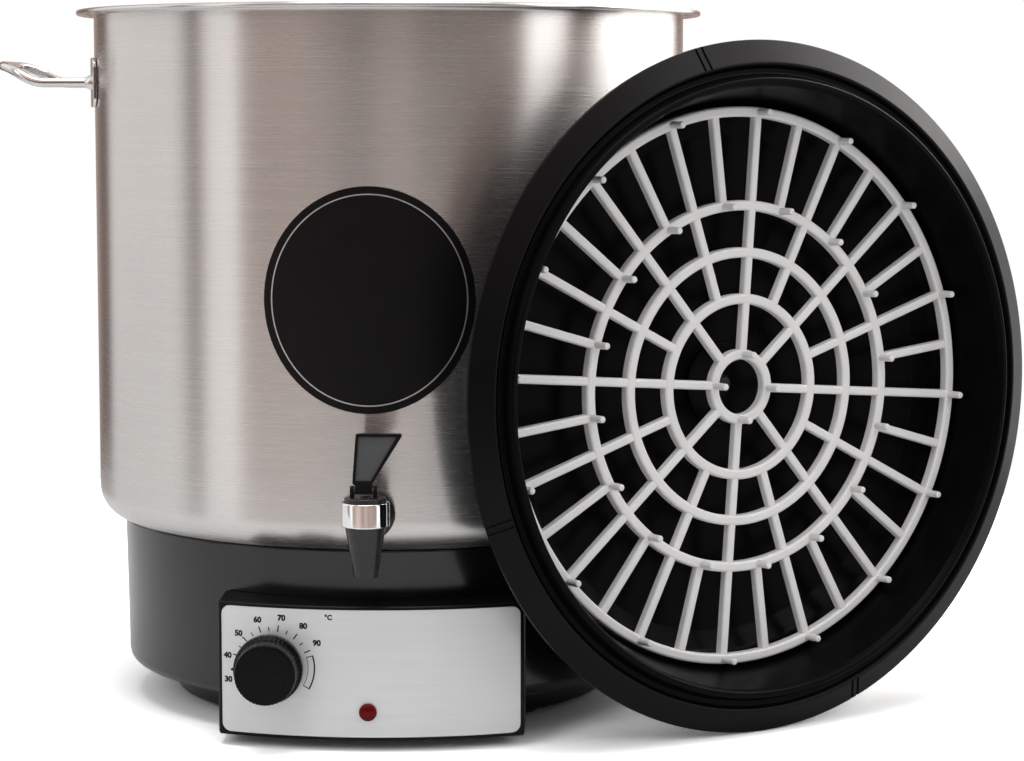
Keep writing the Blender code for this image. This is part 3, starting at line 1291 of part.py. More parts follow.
def build_looks():
    return {
        "steel": material("brushed_steel", (0.55, 0.53, 0.51), 0.32, 1.0),
        "polished": material("polished_steel", (0.72, 0.71, 0.70), 0.15, 1.0),
        "chrome": material("chrome", (0.82, 0.82, 0.82), 0.05, 1.0),
        "aluminium": material("aluminium", (0.70, 0.70, 0.71), 0.45, 1.0),
        "zinc": material("zinc_plated_steel", (0.60, 0.60, 0.58), 0.40, 1.0),
        "copper": material("copper", (0.66, 0.38, 0.24), 0.35, 1.0),
        "element": material("heater_sheath", (0.20, 0.19, 0.18), 0.55, 1.0),
        "enamel": material("black_enamel", (0.020, 0.020, 0.022), 0.12),
        "plastic": material("black_plastic", (0.022, 0.022, 0.024), 0.35),
        "gloss": material("gloss_black_plastic", (0.012, 0.012, 0.013), 0.18),
        "lid": material("lid_plastic", (0.018, 0.018, 0.020), 0.30),
        "panel": material("brushed_silver", (0.62, 0.62, 0.63), 0.38, 0.8),
        "red": material("red_lens", (0.30, 0.008, 0.010), 0.12),
        "rack": material("white_plastic", (0.70, 0.69, 0.68), 0.45),
        "rubber": material("black_rubber", (0.030, 0.030, 0.030), 0.75),
        "ceramic": material("pale_insulator", (0.75, 0.73, 0.68), 0.55),
    }


def main():
    for obj in list(bpy.data.objects):
        bpy.data.objects.remove(obj)
    looks = build_looks()
    build_pot(looks)
    build_handles(looks)
    build_base_shell(looks)
    build_floor_pan(looks)
    build_feet(looks)
    build_studs(looks)
    build_heater(looks)
    build_terminals(looks)
    build_gland(looks)
    build_housing(looks)
    thermostat_face, thermostat_back = build_thermostat(looks)
    build_sensor(looks, thermostat_face, thermostat_back)
    build_lamp(looks)
    build_tap(looks)
    build_lid(looks)
    build_rack(looks)


main()
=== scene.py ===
"""Electric preserving cooker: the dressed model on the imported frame.

Metres, +Z up. The pot's axis is the Z axis, and the tap and the control panel face -Y.
"""

import math

import bmesh
import bpy
from mathutils import Matrix, Vector


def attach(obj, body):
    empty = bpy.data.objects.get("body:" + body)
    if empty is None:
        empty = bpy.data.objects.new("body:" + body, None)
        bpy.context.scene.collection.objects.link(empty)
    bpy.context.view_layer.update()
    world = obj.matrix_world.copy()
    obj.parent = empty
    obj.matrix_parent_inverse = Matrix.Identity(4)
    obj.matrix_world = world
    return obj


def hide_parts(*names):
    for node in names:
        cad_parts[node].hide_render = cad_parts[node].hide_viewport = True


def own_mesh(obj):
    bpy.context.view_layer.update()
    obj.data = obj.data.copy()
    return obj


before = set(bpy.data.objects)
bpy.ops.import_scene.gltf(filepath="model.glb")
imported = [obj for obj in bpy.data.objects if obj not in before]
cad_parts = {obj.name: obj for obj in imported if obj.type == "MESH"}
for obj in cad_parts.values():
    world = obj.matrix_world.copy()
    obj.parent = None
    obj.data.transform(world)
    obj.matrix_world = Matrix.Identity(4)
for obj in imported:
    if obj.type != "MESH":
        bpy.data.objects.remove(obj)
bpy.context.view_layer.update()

FULL_TURN = 2 * math.pi
QUARTER_TURN = math.pi / 2
GAP = 0.0003

# Camera
CAMERA_PLACE = (0.1161, -1.6609, 0.357)
CAMERA_FORWARD = (-0.0255, 0.9944, -0.1024)
CAMERA_LENS = 96.5
SENSOR_WIDTH = 36.0

# Pot and handles
POT_RADIUS = 0.176
POT_WALL = 0.001
POT_FLOOR = 0.0015
POT_UNDERSIDE = 0.108
POT_CORNER = 0.018
RIM_TOP = 0.4085
RIM_REACH = 0.0104
RIM_BEAD = 0.0016
RIM_FILLET = 0.004
HANDLE_ANGLES = {"left": -90, "right": 90}
HANDLE_WIRE = 0.0028
HANDLE_HALF_WIDTH = 0.042
HANDLE_REACH = 0.0568
HANDLE_CORNER = 0.026
HANDLE_LIFT = 0.010
HANDLE_LIFT_START = 0.026
HANDLE_HEIGHT = 0.366
HANDLE_PLATE = 0.002
HANDLE_PLATE_HEIGHT = 0.029
HANDLE_PLATE_WIDTH = 0.106
HANDLE_PLATE_CORNER = 0.006

# Label
LABEL_HALF_WIDTH = 0.058
LABEL_HALF_HEIGHT = 0.062
LABEL_MIDDLE = 0.2475
LABEL_LINE_INSET = 0.0040
LABEL_LINE_WIDTH = 0.0007

# Base
BASE_TOP = 0.1077
BASE_TOP_RADIUS = 0.161
BASE_BOTTOM_RADIUS = 0.1595
BASE_UNDERSIDE = 0.020
BASE_CORNER = 0.007
BASE_WALL = 0.002
BASE_LIP = 0.011
BASE_FLANGE = 0.016
PAN_UNDERSIDE = 0.0035
PAN_WALL = 0.0015
PAN_RADIUS = 0.131
PAN_FLANGE_RADIUS = 0.150
PAN_PRESSING = 0.0005
PAN_PRESSING_RADIUS = 0.055
FOOT_ANGLES = (45, 135, 225, 315)
FOOT_CIRCLE = 0.112
FOOT_RADIUS = 0.011
STUD_ANGLES = (90, 210, 330)
STUD_CIRCLE = 0.070
STUD_RADIUS = 0.0025
GLAND_HEIGHT = 0.046
GLAND_SEAT = 0.16045

# Control housing
FRONT_REACH = 0.187
FRONT_RADIUS = 0.225
HOUSING_HALF_WIDTH = 0.0848
HOUSING_UNDERSIDE = 0.006
HOUSING_TOP = 0.081
HOUSING_EDGE = 0.0016
HOUSING_WALL = 0.0025
PANEL_THICKNESS = 0.001
PANEL_RECESS = 0.0003
PANEL_MARGIN = 0.0021
PANEL_CORNER = 0.005
BOSS_SIDE = 0.070
BOSS_HEIGHT = 0.0715
BOSS_RADIUS = 0.005
SCREW_RADIUS = 0.0018
WINDOW_HALF_WIDTH = 0.036
WINDOW_LOW = 0.032
WINDOW_HIGH = 0.072
DIAL_SIDE = -0.0552
DIAL_HEIGHT = 0.046
BUSH_RADIUS = 0.0048
LAMP_SIDE = -0.0006
LAMP_HEIGHT = 0.0224
LENS_RADIUS = 0.0049
LENS_STEM = 0.0038
LENS_RISE = 0.0022
LENS_FLANGE = 0.0008
LENS_STEM_LENGTH = 0.006
KNOB_BACK = 0.18467
KNOB_RADIUS = 0.0190
KNOB_FACE_RADIUS = 0.0168
KNOB_DEPTH = 0.020
KNOB_SKIRT = 0.005
KNOB_RIBS = 24
KNOB_RIB_DEPTH = 0.0005
PRINT_SIDE = -0.0533
PRINT_HEIGHT = 0.0463

# Dial print: the numbers with their places from its centre, angles clockwise from the top
DIAL_FIRST = -105.0
DIAL_STEP = 28.3
DIAL_NUMBER_SIZE = 0.0043
DIAL_NUMBERS = (
    (30, -0.0256, -0.0090), (40, -0.0259, 0.0045), (50, -0.0195, 0.0172), (60, -0.0086, 0.0254),
    (70, 0.0050, 0.0271), (80, 0.0172, 0.0231), (90, 0.0247, 0.0139),
)
BRACKET_ANGLES = (73, 120)

# Tap
TAP_AXIS = -0.205
TAP_HEIGHT = 0.131
FLANGE_RADIUS = 0.0143
FLANGE_BACK = 0.1786
FLANGE_FRONT = 0.1821
SHANK_RADIUS = 0.0085
BARREL_RADIUS = 0.0113
SPOUT_TOP = 0.1283
SPOUT_TIP = 0.1005
SPOUT_TOP_RADIUS = 0.0109
SPOUT_TIP_RADIUS = 0.0064
OUTLET_BORE = 0.0044
COLLAR_RADIUS = 0.0132
COLLAR_TOP = 0.1415
BONNET_LOW = 0.1405
BONNET_TOP = 0.1440
PIN_HEIGHT = 0.1478
LEVER_DEPTH = 0.0052
SPRING_LOW = 0.1304
SPRING_HIGH = 0.1402
SPRING_WIRE = 0.0006
SPRING_RADIUS = 0.0046
SPRING_TURNS = 6.5

# Lid
LID_FACING = math.radians(33.8)
LID_LEAN = math.radians(1.1)
LID_DISTANCE = 0.22652
LID_SIDE = 0.1107
LID_HEIGHT = 0.19482
FLANGE_SLOPE = math.atan(0.0064 / 0.0135)
FLANGE_MIDDLE = (0.18775, 0, 0.0032)
GROOVE_ANGLES = (103.2, -70.3, 199.6)
GROOVE_SHIFT = 0.0021
GROOVE_HALF_WIDTH = 0.0008
GROOVE_INWARDS = 0.0066
GROOVE_DEPTH = 0.0010

# Rack
RACK_DROP = 0.000458
RACK_TURN = math.radians(-4.8)
RACK_RINGS = (0.0185, 0.0500, 0.0762, 0.1028, 0.1555)
RACK_RING_WIDTH = 0.0058
RACK_BACK = -0.026
RACK_FRONT = -0.020
RACK_BAR_WIDTH = 0.0050
RACK_BAR_BACK = -0.0256
RACK_BAR_FRONT = -0.0204
RACK_SPOKES = 32

# The studio as the metal sees it, in degrees from the camera: a dim warm room with white cards in it,
# each with its first and last angle, the width of its soft edge and its level
ROOM_LEVEL = 0.2
ROOM_WARMTH = 0.3
CARD_WARMTH = 0.05
STUDIO_CARDS = (
    (-180, -165, 20, 0.5), (-130, -87, 10, 0.9), (-69, -60, 8, 1.1),
    (-55, -40, 30, 0.4), (-2, 5, 8, 0.3), (56, 64, 9, 1.2), (90, 135, 12, 2.0), (165, 180, 20, 0.5),
)

# Factors on the studio's level at eye level, above it and below it
WALL_HEIGHTS = (
    (-180, 1.0, 1.3, 0.8), (-130, 1.0, 1.4, 0.7), (-80, 1.0, 1.5, 0.8), (-50, 0.80, 2.0, 1.2),
    (-22, 0.42, 2.6, 2.4), (0, 0.37, 2.8, 1.9), (22, 0.42, 2.6, 2.4), (42, 0.80, 3.0, 2.0),
    (60, 1.0, 4.2, 1.2), (75, 1.0, 4.8, 1.0), (145, 1.0, 4.8, 0.9), (180, 1.0, 1.3, 0.8),
)


def turns(count):
    """Angles spread evenly round a circle."""
    return [FULL_TURN * i / count for i in range(count)]


def arc(centre, radius, start, end, steps):
    """Points along an arc, angles in degrees."""
    angles = [math.radians(start + (end - start) * i / steps) for i in range(steps + 1)]
    return [(centre[0] + radius * math.cos(a), centre[1] + radius * math.sin(a)) for a in angles]


def rounded(corners, steps):
    """A closed outline from (x, y, corner radius) points."""
    outline = []
    count = len(corners)
    for i, (x, y, radius) in enumerate(corners):
        here = Vector((x, y))
        before = Vector(corners[i - 1][:2]) - here
        after = Vector(corners[(i + 1) % count][:2]) - here
        if radius <= 0:
            outline.append((x, y))
            continue
        half = before.angle(after) / 2
        reach = radius / math.tan(half)
        reach = min(reach, before.length * 0.49, after.length * 0.49)
        size = reach * math.tan(half)
        start = here + before.normalized() * reach
        end = here + after.normalized() * reach
        middle = here + (before.normalized() + after.normalized()).normalized() * (size / math.sin(half))
        a, b = start - middle, end - middle
        sweep = a.angle_signed(b) if a.length and b.length else 0.0
        for k in range(steps + 1):
            turn = -sweep * k / steps
            outline.append((
                middle.x + a.x * math.cos(turn) - a.y * math.sin(turn),
                middle.y + a.x * math.sin(turn) + a.y * math.cos(turn),
            ))
    return outline


def box_outline(left, right, low, high, radii=(0, 0, 0, 0), steps=4):
    """A four-cornered outline, its corner radii counted from the lower left and round by the right."""
    corners = ((left, low), (right, low), (right, high), (left, high))
    return rounded([(*corner, radius) for corner, radius in zip(corners, radii)], steps)


# The materials by their names
LOOKS = {}


def linked(name, data):
    """A new object in the scene."""
    obj = bpy.data.objects.new(name, data)
    bpy.context.scene.collection.objects.link(obj)
    return obj


def shaped(name, bm, look=None, place=None, sharp=38):
    """An object from a mesh built in bm, shaded smooth where it is round."""
    if place is not None:
        bm.transform(place)
    bmesh.ops.recalc_face_normals(bm, faces=bm.faces)
    if bm.calc_volume(signed=True) < 0:
        bmesh.ops.reverse_faces(bm, faces=bm.faces)
    mesh = bpy.data.meshes.new(name)
    bm.to_mesh(mesh)
    bm.free()
    mesh.shade_smooth()
    mesh.set_sharp_from_angle(angle=math.radians(sharp))
    if look is not None:
        mesh.materials.append(LOOKS[look])
    return linked(name, mesh)


def second_look(obj, look, chosen):
    """Gives the chosen faces another look."""
    obj.data.materials.append(LOOKS[look])
    for face in obj.data.polygons:
        if chosen(face):
            face.material_index = 1


def dress(obj, slot, *nodes, body="cooker", even=False):
    """Hangs a finished piece on its body, in place of the CAD nodes it stands for.

    even keeps flat areas flat beside rounded edges.
    """
    if even:
        obj.modifiers.new("shading", "WEIGHTED_NORMAL").keep_sharp = True
    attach(obj, body)
    if nodes:
        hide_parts(*nodes)


def boolean(target, other, operation, sharp):
    """Cuts or joins a helper shape and drops the helper."""
    modifier = target.modifiers.new("boolean", "BOOLEAN")
    modifier.operation = operation
    modifier.solver = "EXACT"
    modifier.object = other
    graph = bpy.context.evaluated_depsgraph_get()
    mesh = bpy.data.meshes.new_from_object(target.evaluated_get(graph))
    target.modifiers.remove(modifier)
    target.data = mesh
    mesh.shade_smooth()
    mesh.set_sharp_from_angle(angle=math.radians(sharp))
    bpy.data.objects.remove(other)


def cut(target, other, sharp=38):
    boolean(target, other, "DIFFERENCE", sharp)


def join(target, other, sharp=38):
    boolean(target, other, "UNION", sharp)


def skin(bm, lower, upper):
    """Joins two rings of points with faces."""
    count = len(lower)
    for i in range(count):
        j = (i + 1) % count
        bm.faces.new((lower[i], lower[j], upper[j], upper[i]))


def lathe_mesh(bm, outline, segments, wave=None):
    """Turns a closed (radius, height) outline about Z."""
    rings = []
    for radius, height in outline:
        if radius < GAP / 1000:
            rings.append([bm.verts.new((0, 0, height))])
            continue
        ring = []
        for a in turns(segments):
            r = radius if wave is None else wave(radius, height, a)
            ring.append(bm.verts.new((r * math.cos(a), r * math.sin(a), height)))
        rings.append(ring)
    for lower, upper in zip(rings, rings[1:] + rings[:1]):
        if len(lower) == 1 and len(upper) == 1:
            continue
        for i in range(segments):
            j = (i + 1) % segments
            corners = []
            for ring, k in ((lower, i), (lower, j), (upper, j), (upper, i)):
                vert = ring[k % len(ring)]
                if vert not in corners:
                    corners.append(vert)
            bm.faces.new(corners)


def lathe(name, outline, look=None, place=None, segments=128, sharp=38, wave=None):
    bm = bmesh.new()
    lathe_mesh(bm, outline, segments, wave)
    return shaped(name, bm, look, place, sharp)


def prism_mesh(bm, outline, low, high):
    """A flat (x, y) outline extruded along Z from low to high."""
    floor = [bm.verts.new((x, y, low)) for x, y in outline]
    roof = [bm.verts.new((x, y, high)) for x, y in outline]
    bm.faces.new(list(reversed(floor)))
    bm.faces.new(roof)
    skin(bm, floor, roof)


def prism(name, outline, low, high, look=None, place=None, edge=0, steps=2):
    """A flat outline extruded along Z, with its edges rounded by an amount."""
    bm = bmesh.new()
    prism_mesh(bm, outline, low, high)
    if edge:
        soften(bm, edge, steps)
    return shaped(name, bm, look, place)


def drill(target, radius, low, high, place, segments, sharp=38):
    """Cuts a round hole from low to high along the place's Z."""
    cut(target, lathe("hole", box_outline(0, radius, low, high), None, place, segments), sharp)


def notch(target, low, high, place=None, sharp=38):
    """Cuts out the box between two corners."""
    outline = box_outline(low[0], high[0], low[1], high[1])
    cut(target, prism("box", outline, low[2], high[2], None, place), sharp)


def soften(bm, width, segments):
    """Rounds the edges that turn more than 50 degrees."""
    bm.normal_update()
    limit = math.radians(50)
    edges = [e for e in bm.edges if len(e.link_faces) == 2 and e.calc_face_angle() > limit]
    bmesh.ops.bevel(
        bm, geom=edges, offset=width, segments=segments, profile=0.5, affect="EDGES", clamp_overlap=True
    )


def slice_across(bm, low, high, count):
    """Cuts a mesh into upright strips, so that it can be bent."""
    for i in range(1, count):
        x = low + (high - low) * i / count
        geometry = list(bm.verts) + list(bm.edges) + list(bm.faces)
        bmesh.ops.bisect_plane(bm, geom=geometry, dist=GAP / 1000, plane_co=(x, 0, 0), plane_no=(1, 0, 0))


def bend(bm, radius, centre):
    """Bends flat work (x across, y up, z outwards) onto an upright round face towards -Y."""
    for vert in bm.verts:
        x, y, out = vert.co
        vert.co = (x, centre - math.sqrt((radius + out) ** 2 - x**2), y)


FRONT_CENTRE = FRONT_RADIUS - FRONT_REACH


def front_bow(reach):
    """Radius and centre of the bowed front at a reach."""
    return (FRONT_RADIUS + reach - FRONT_REACH, FRONT_CENTRE)


def bent_plate(name, outline, half_width, slices, depths, edge, bow, look=None, place=None):
    """A flat outline between two depths, bent; edge is its rounding's width and steps."""
    bm = bmesh.new()
    prism_mesh(bm, outline, *depths)
    if edge:
        soften(bm, *edge)
    slice_across(bm, -half_width, half_width, slices)
    bend(bm, *bow)
    return shaped(name, bm, look, place)


def rounded_rectangle(half_width, low, high, corner):
    return rounded([
        (half_width, low, corner), (half_width, high, corner), (-half_width, high, corner),
        (-half_width, low, corner),
    ], 8)


def sweep(bm, points, radius, sides):
    """A round tube along points, with flat ends."""
    points = [Vector(p) for p in points]
    tangent = (points[1] - points[0]).normalized()
    across = tangent.orthogonal().normalized()
    rings = []
    for i, point in enumerate(points):
        ahead = points[min(i + 1, len(points) - 1)] - points[max(i - 1, 0)]
        turn = tangent.rotation_difference(ahead.normalized())
        across.rotate(turn)
        tangent = ahead.normalized()
        side = tangent.cross(across)
        rings.append([
            bm.verts.new(point + (across * math.cos(a) + side * math.sin(a)) * radius)
            for a in turns(sides)
        ])
    for lower, upper in zip(rings, rings[1:]):
        skin(bm, lower, upper)
    bm.faces.new(list(reversed(rings[0])))
    bm.faces.new(rings[-1])


# Turns a flat outline's X, Y and depth to Y, Z and X
ALONG_X = Matrix(((0, 0, 1, 0), (1, 0, 0, 0), (0, 1, 0, 0), (0, 0, 0, 1)))


def along_y(x, y, z):
    """Turns +Z to -Y, with the turned piece's zero at a place."""
    return Matrix.Translation((x, y, z)) @ Matrix.Rotation(QUARTER_TURN, 4, "X")


def round_z(degrees):
    """Turns the front, -Y, to an angle counted towards +X."""
    return Matrix.Rotation(math.radians(degrees), 4, "Z")


def boss_places():
    return [along_y(side * BOSS_SIDE, 0, BOSS_HEIGHT) for side in (-1, 1)]


def upright_at(circle, degrees):
    return round_z(degrees) @ Matrix.Translation((0, -circle, 0))


def lid_matrix():
    """The lid's own frame: X level along the lid, Y up its face, Z out of its inside."""
    level_out = Vector((math.sin(LID_FACING), -math.cos(LID_FACING), 0))
    along = Vector((math.cos(LID_FACING), math.sin(LID_FACING), 0))
    out = level_out * math.cos(LID_LEAN) + Vector((0, 0, math.sin(LID_LEAN)))
    up = out.cross(along)
    centre = level_out * LID_DISTANCE + along * LID_SIDE + Vector((0, 0, LID_HEIGHT))
    return Matrix.Translation(centre) @ Matrix((along, up, out)).transposed().to_4x4()


# Materials

def feed(tree, value, socket):
    """Links a node's first output, or the output given, to an input, or sets a plain value there."""
    if isinstance(value, bpy.types.Node):
        value = value.outputs[0]
    if isinstance(value, bpy.types.NodeSocket):
        tree.links.new(value, socket)
    else:
        socket.default_value = value


def add(tree, kind, inputs=None, **settings):
    """Adds a node, with its settings and its inputs, which are values or other nodes' outputs."""
    node = tree.nodes.new("ShaderNode" + kind)
    for key, value in settings.items():
        setattr(node, key, value)
    for key, value in (inputs or {}).items():
        feed(tree, value, node.inputs[key])
    return node


def arithmetic(tree, operation, first, second=None):
    """A sum, product or other result of one or two outputs."""
    inputs = {0: first} if second is None else {0: first, 1: second}
    return add(tree, "Math", inputs, operation=operation)


def ramp(tree, source, low, high):
    """Two colours mixed by a noise."""
    node = add(tree, "ValToRGB", {"Fac": source})
    for stop, position, colour in zip(node.color_ramp.elements, (0.3, 0.7), (low, high)):
        stop.position = position
        stop.color = (*colour, 1)
    return node


def spread(tree, source, low, high, start=0.3, end=0.7, **settings):
    """A number that moves between two values as its source goes from start to end."""
    inputs = {"Value": source, "From Min": start, "From Max": end, "To Min": low, "To Max": high}
    return add(tree, "MapRange", inputs, **settings)


def noise(tree, vector, scale, detail=3.0, roughness=0.55):
    inputs = {"Vector": vector, "Scale": scale, "Detail": detail, "Roughness": roughness}
    return add(tree, "TexNoise", inputs)


def new_material(name):
    """The node tree of a new look."""
    made = LOOKS[name] = bpy.data.materials.new(name)
    made.use_nodes = True
    return made.node_tree


def start_material(name, metallic, sockets):
    tree = new_material(name)
    shader = tree.nodes["Principled BSDF"]
    for socket, value in {"Metallic": metallic, **sockets}.items():
        shader.inputs[socket].default_value = value
    return tree, shader


def finish_material(tree, shader, colour, gloss, grain, relief):
    """Feeds the shader its colour, its roughness and the fine relief that the light shows."""
    bump = add(tree, "Bump", {"Height": grain, "Strength": 1.0, "Distance": relief})
    feed(tree, colour, shader.inputs["Base Color"])
    feed(tree, gloss, shader.inputs["Roughness"])
    feed(tree, bump, shader.inputs["Normal"])


def surface(
    name, colour, roughness, metallic=0.0, mottle=0.08, mottle_scale=28.0, wear=0.05, wear_scale=90.0,
    grain_scale=1400.0, relief=0.00001, specular=0.5, stretch=1, coat=0.0,
):
    """A surface with slow changes in colour and gloss, and a fine grain."""
    sockets = {"Specular IOR Level": specular}
    if coat:
        sockets.update({"Coat Weight": coat, "Coat Roughness": 0.08})
    tree, shader = start_material(name, metallic, sockets)
    place = add(tree, "TexCoord").outputs["Object"]
    vector = add(tree, "Mapping", {"Vector": place, "Scale": (1, 1, stretch)})
    dark = [c * (1 - mottle) for c in colour]
    light = [min(1.0, c * (1 + mottle)) for c in colour]
    mottled = ramp(tree, noise(tree, vector, mottle_scale), dark, light)
    gloss = spread(tree, noise(tree, vector, wear_scale, 4.0), roughness - wear, roughness + wear)
    finish_material(tree, shader, mottled, gloss, noise(tree, vector, grain_scale, 2.0), relief)


GLOSS_SPREAD = 0.010


def brushed_round(name, colour, roughness, anisotropic, mottle, line_scale, relief):
    """Metal polished round the pot: fine lines round the wall and rings on the floor."""
    sockets = {"Anisotropic": anisotropic, "Anisotropic Rotation": 0.25}
    tree, shader = start_material(name, 1.0, sockets)
    place = add(tree, "TexCoord").outputs["Object"]
    parts = add(tree, "SeparateXYZ", {"Vector": place}).outputs
    squares = [arithmetic(tree, "MULTIPLY", parts[a], parts[a]) for a in ("X", "Y")]
    distance = arithmetic(tree, "SQRT", arithmetic(tree, "ADD", *squares))
    along = arithmetic(tree, "ADD", distance, parts["Z"])
    lines = add(tree, "CombineXYZ", {"X": parts["X"], "Y": parts["Y"], "Z": along})
    brushed = add(tree, "Mapping", {"Vector": lines, "Scale": (6.0, 6.0, line_scale)})
    fine = noise(tree, brushed, 1.0, 5.0, 0.7)
    slow = noise(tree, place, 9.0, 2.0)
    streaks = ramp(tree, fine, [c * (1 - mottle) for c in colour], [c * (1 + mottle) for c in colour])
    haze = ramp(tree, slow, [0.95] * 3, [1.0] * 3)
    mixed = add(
        tree, "Mix", data_type="RGBA", blend_type="MULTIPLY",
        inputs={"Factor": 1.0, "A": streaks, "B": haze},
    )
    gloss = spread(tree, fine, roughness - GLOSS_SPREAD, roughness + GLOSS_SPREAD)
    finish_material(tree, shader, mixed.outputs["Result"], gloss, fine, relief)
    tangent = add(tree, "Tangent", direction_type="RADIAL", axis="Z")
    feed(tree, tangent, shader.inputs["Tangent"])


# Each look's colour, roughness, metallic, colour change and its scale, gloss change and its scale,
# grain scale, relief, specular level, stretch along Z, coat
SURFACES = {
    "polished_steel": ((0.66, 0.65, 0.64), 0.16, 1.0, 0.05, 60, 0.05, 300, 900, 3e-6),
    "chrome": ((0.86, 0.86, 0.86), 0.06, 1.0, 0.02, 60, 0.02, 200, 900, 1e-6),
    "aluminium": ((0.70, 0.70, 0.71), 0.42, 1.0, 0.06, 20, 0.08, 60, 900, 6e-6, 0.5, 12),
    "zinc_plated_steel": ((0.60, 0.60, 0.57), 0.36, 1.0, 0.12, 160, 0.10, 200),
    "copper": ((0.62, 0.33, 0.20), 0.32, 1.0, 0.16, 70, 0.10, 120),
    "heater_sheath": ((0.16, 0.15, 0.145), 0.52, 0.8, 0.25, 60, 0.10, 90),
    "black_enamel": ((0.006, 0.006, 0.007), 0.18, 0, 0.10, 14, 0.03, 40, 350, 3e-6, 0.48, 1, 0.16),
    "black_plastic": ((0.0035, 0.0035, 0.0038), 0.36, 0, 0.10, 60, 0.03, 200, 2600, 4e-6, 0.16),
    "tap_plastic": ((0.018, 0.0175, 0.018), 0.27, 0, 0.08, 60, 0.02, 200, 2600, 2e-6, 0.42),
    "tap_handle_frame": ((0.004, 0.004, 0.004), 0.34, 0, 0.08, 60, 0.03, 200, 2600, 4e-6, 0.14),
    "tap_handle_face": ((0.078, 0.077, 0.080), 0.44, 0, 0.06, 60, 0.03, 200, 2600, 6e-6, 0.35),
    "gloss_black_plastic": ((0.0030, 0.0022, 0.0028), 0.28, 0, 0.08, 60, 0.02, 160, 1800, 5e-7, 0.11),
    "lid_plastic": ((0.0034, 0.0032, 0.0034), 0.34, 0, 0.06, 22, 0.02, 80, 2200, 3e-6, 0.10),
    # The lid's own plastic made darker for its inside: painted shade in the lid's recess
    "lid_recess_painted_shade": ((0.0015, 0.0014, 0.0015), 0.34, 0, 0.05, 22, 0.01, 80, 2200, 1e-6, 0.05),
    # The lid's zinc screw made near black: painted shade of the lid's dark hub
    "screw_painted_shade": ((0.010, 0.010, 0.010), 0.40, 0.4, 0.10, 120, 0.06, 200, 900, 4e-6),
    "brushed_silver": ((0.74, 0.74, 0.75), 0.40, 0.35, 0.02, 18, 0.04, 60, 1500, 2e-6, 0.5, 30),
    "dial_print": ((0.010, 0.010, 0.012), 0.50, 0, 0.15, 500, 0.05, 500, 1400, 1e-5, 0.2),
    "red_lens": ((0.120, 0.002, 0.004), 0.12, 0, 0.15, 500, 0.03, 300, 900, 1e-6, 0.14),
    "white_plastic": ((0.76, 0.745, 0.74), 0.44, 0, 0.03, 40, 0.05, 150, 1500, 8e-6),
    "black_rubber": ((0.028, 0.028, 0.028), 0.72, 0, 0.20, 120, 0.08, 200),
    "pale_insulator": ((0.74, 0.72, 0.66), 0.55, 0, 0.05, 120, 0.08, 200),
    "black_label": ((0.0045, 0.0042, 0.0045), 0.36, 0, 0.06, 40, 0.03, 120, 1600, 2e-6, 0.18),
    "silver_line": ((0.62, 0.62, 0.62), 0.35, 0.8, 0.04, 80, 0.05, 200, 900, 2e-6),
}


def build_looks():
    for look, row in SURFACES.items():
        surface(look, *row)
    brushed_round("brushed_steel", (0.66, 0.645, 0.63), 0.27, 0.95, 0.030, 900.0, 9e-8)


# Pieces

def build_pot():
    bead = (POT_RADIUS + RIM_REACH - RIM_BEAD, RIM_TOP - RIM_BEAD)
    under = RIM_TOP - POT_WALL
    bead_start = 180 - math.degrees(math.asin((under - bead[1]) / RIM_BEAD))
    inside = POT_RADIUS - POT_WALL
    floor = POT_UNDERSIDE + POT_FLOOR
    inner = POT_CORNER - POT_FLOOR
    mouth = RIM_FILLET + POT_WALL
    outline = [
        (0, POT_UNDERSIDE), (POT_RADIUS / 2, POT_UNDERSIDE),
        *arc((POT_RADIUS - POT_CORNER, POT_UNDERSIDE + POT_CORNER), POT_CORNER, -90, 0, 14),
        (POT_RADIUS, 0.152), (POT_RADIUS, 0.24), (POT_RADIUS, 0.33),
        *arc((POT_RADIUS + RIM_FILLET, under - RIM_FILLET), RIM_FILLET, 180, 90, 8),
        *arc(bead, RIM_BEAD, bead_start, 450, 14),
        *arc((inside + mouth, RIM_TOP - mouth), mouth, 90, 180, 8),
        (inside, 0.33), (inside, 0.24), (inside, 0.152),
        *arc((inside - inner, floor + inner), inner, 0, -90, 12),
        (POT_RADIUS / 2, floor), (0, floor),
    ]
    pot = lathe("pot_shell", outline, "brushed_steel", None, 288, 40)
    drill(pot, SHANK_RADIUS + 0.0005, 0.15, 0.19, along_y(0, 0, TAP_HEIGHT), 64, 40)
    dress(pot, "brushed_steel", "pot")


def handle_path():
    """The wire's centre line, as (distance from the pot's axis, sideways, up)."""
    face = POT_RADIUS + GAP + HANDLE_PLATE
    start = math.sqrt(face**2 - (HANDLE_HALF_WIDTH - HANDLE_WIRE) ** 2) + GAP
    tip = POT_RADIUS + HANDLE_REACH - HANDLE_WIRE
    centre = (tip - HANDLE_CORNER, HANDLE_HALF_WIDTH - HANDLE_CORNER)
    run = [(start + (centre[0] - start) * i / 12, HANDLE_HALF_WIDTH) for i in range(12)]
    half = run + arc(centre, HANDLE_CORNER, 90, 0, 20)
    middle = [(tip, centre[1] * (1 - i / 4)) for i in range(1, 8)]
    path = []
    for x, y in half + middle + [(x, -y) for x, y in reversed(half)]:
        begin = POT_RADIUS + HANDLE_LIFT_START
        rise = max(0.0, min(1.0, (x - begin) / (tip - begin)))
        path.append((x, y, HANDLE_LIFT * rise**2 * (3 - 2 * rise)))
    return path


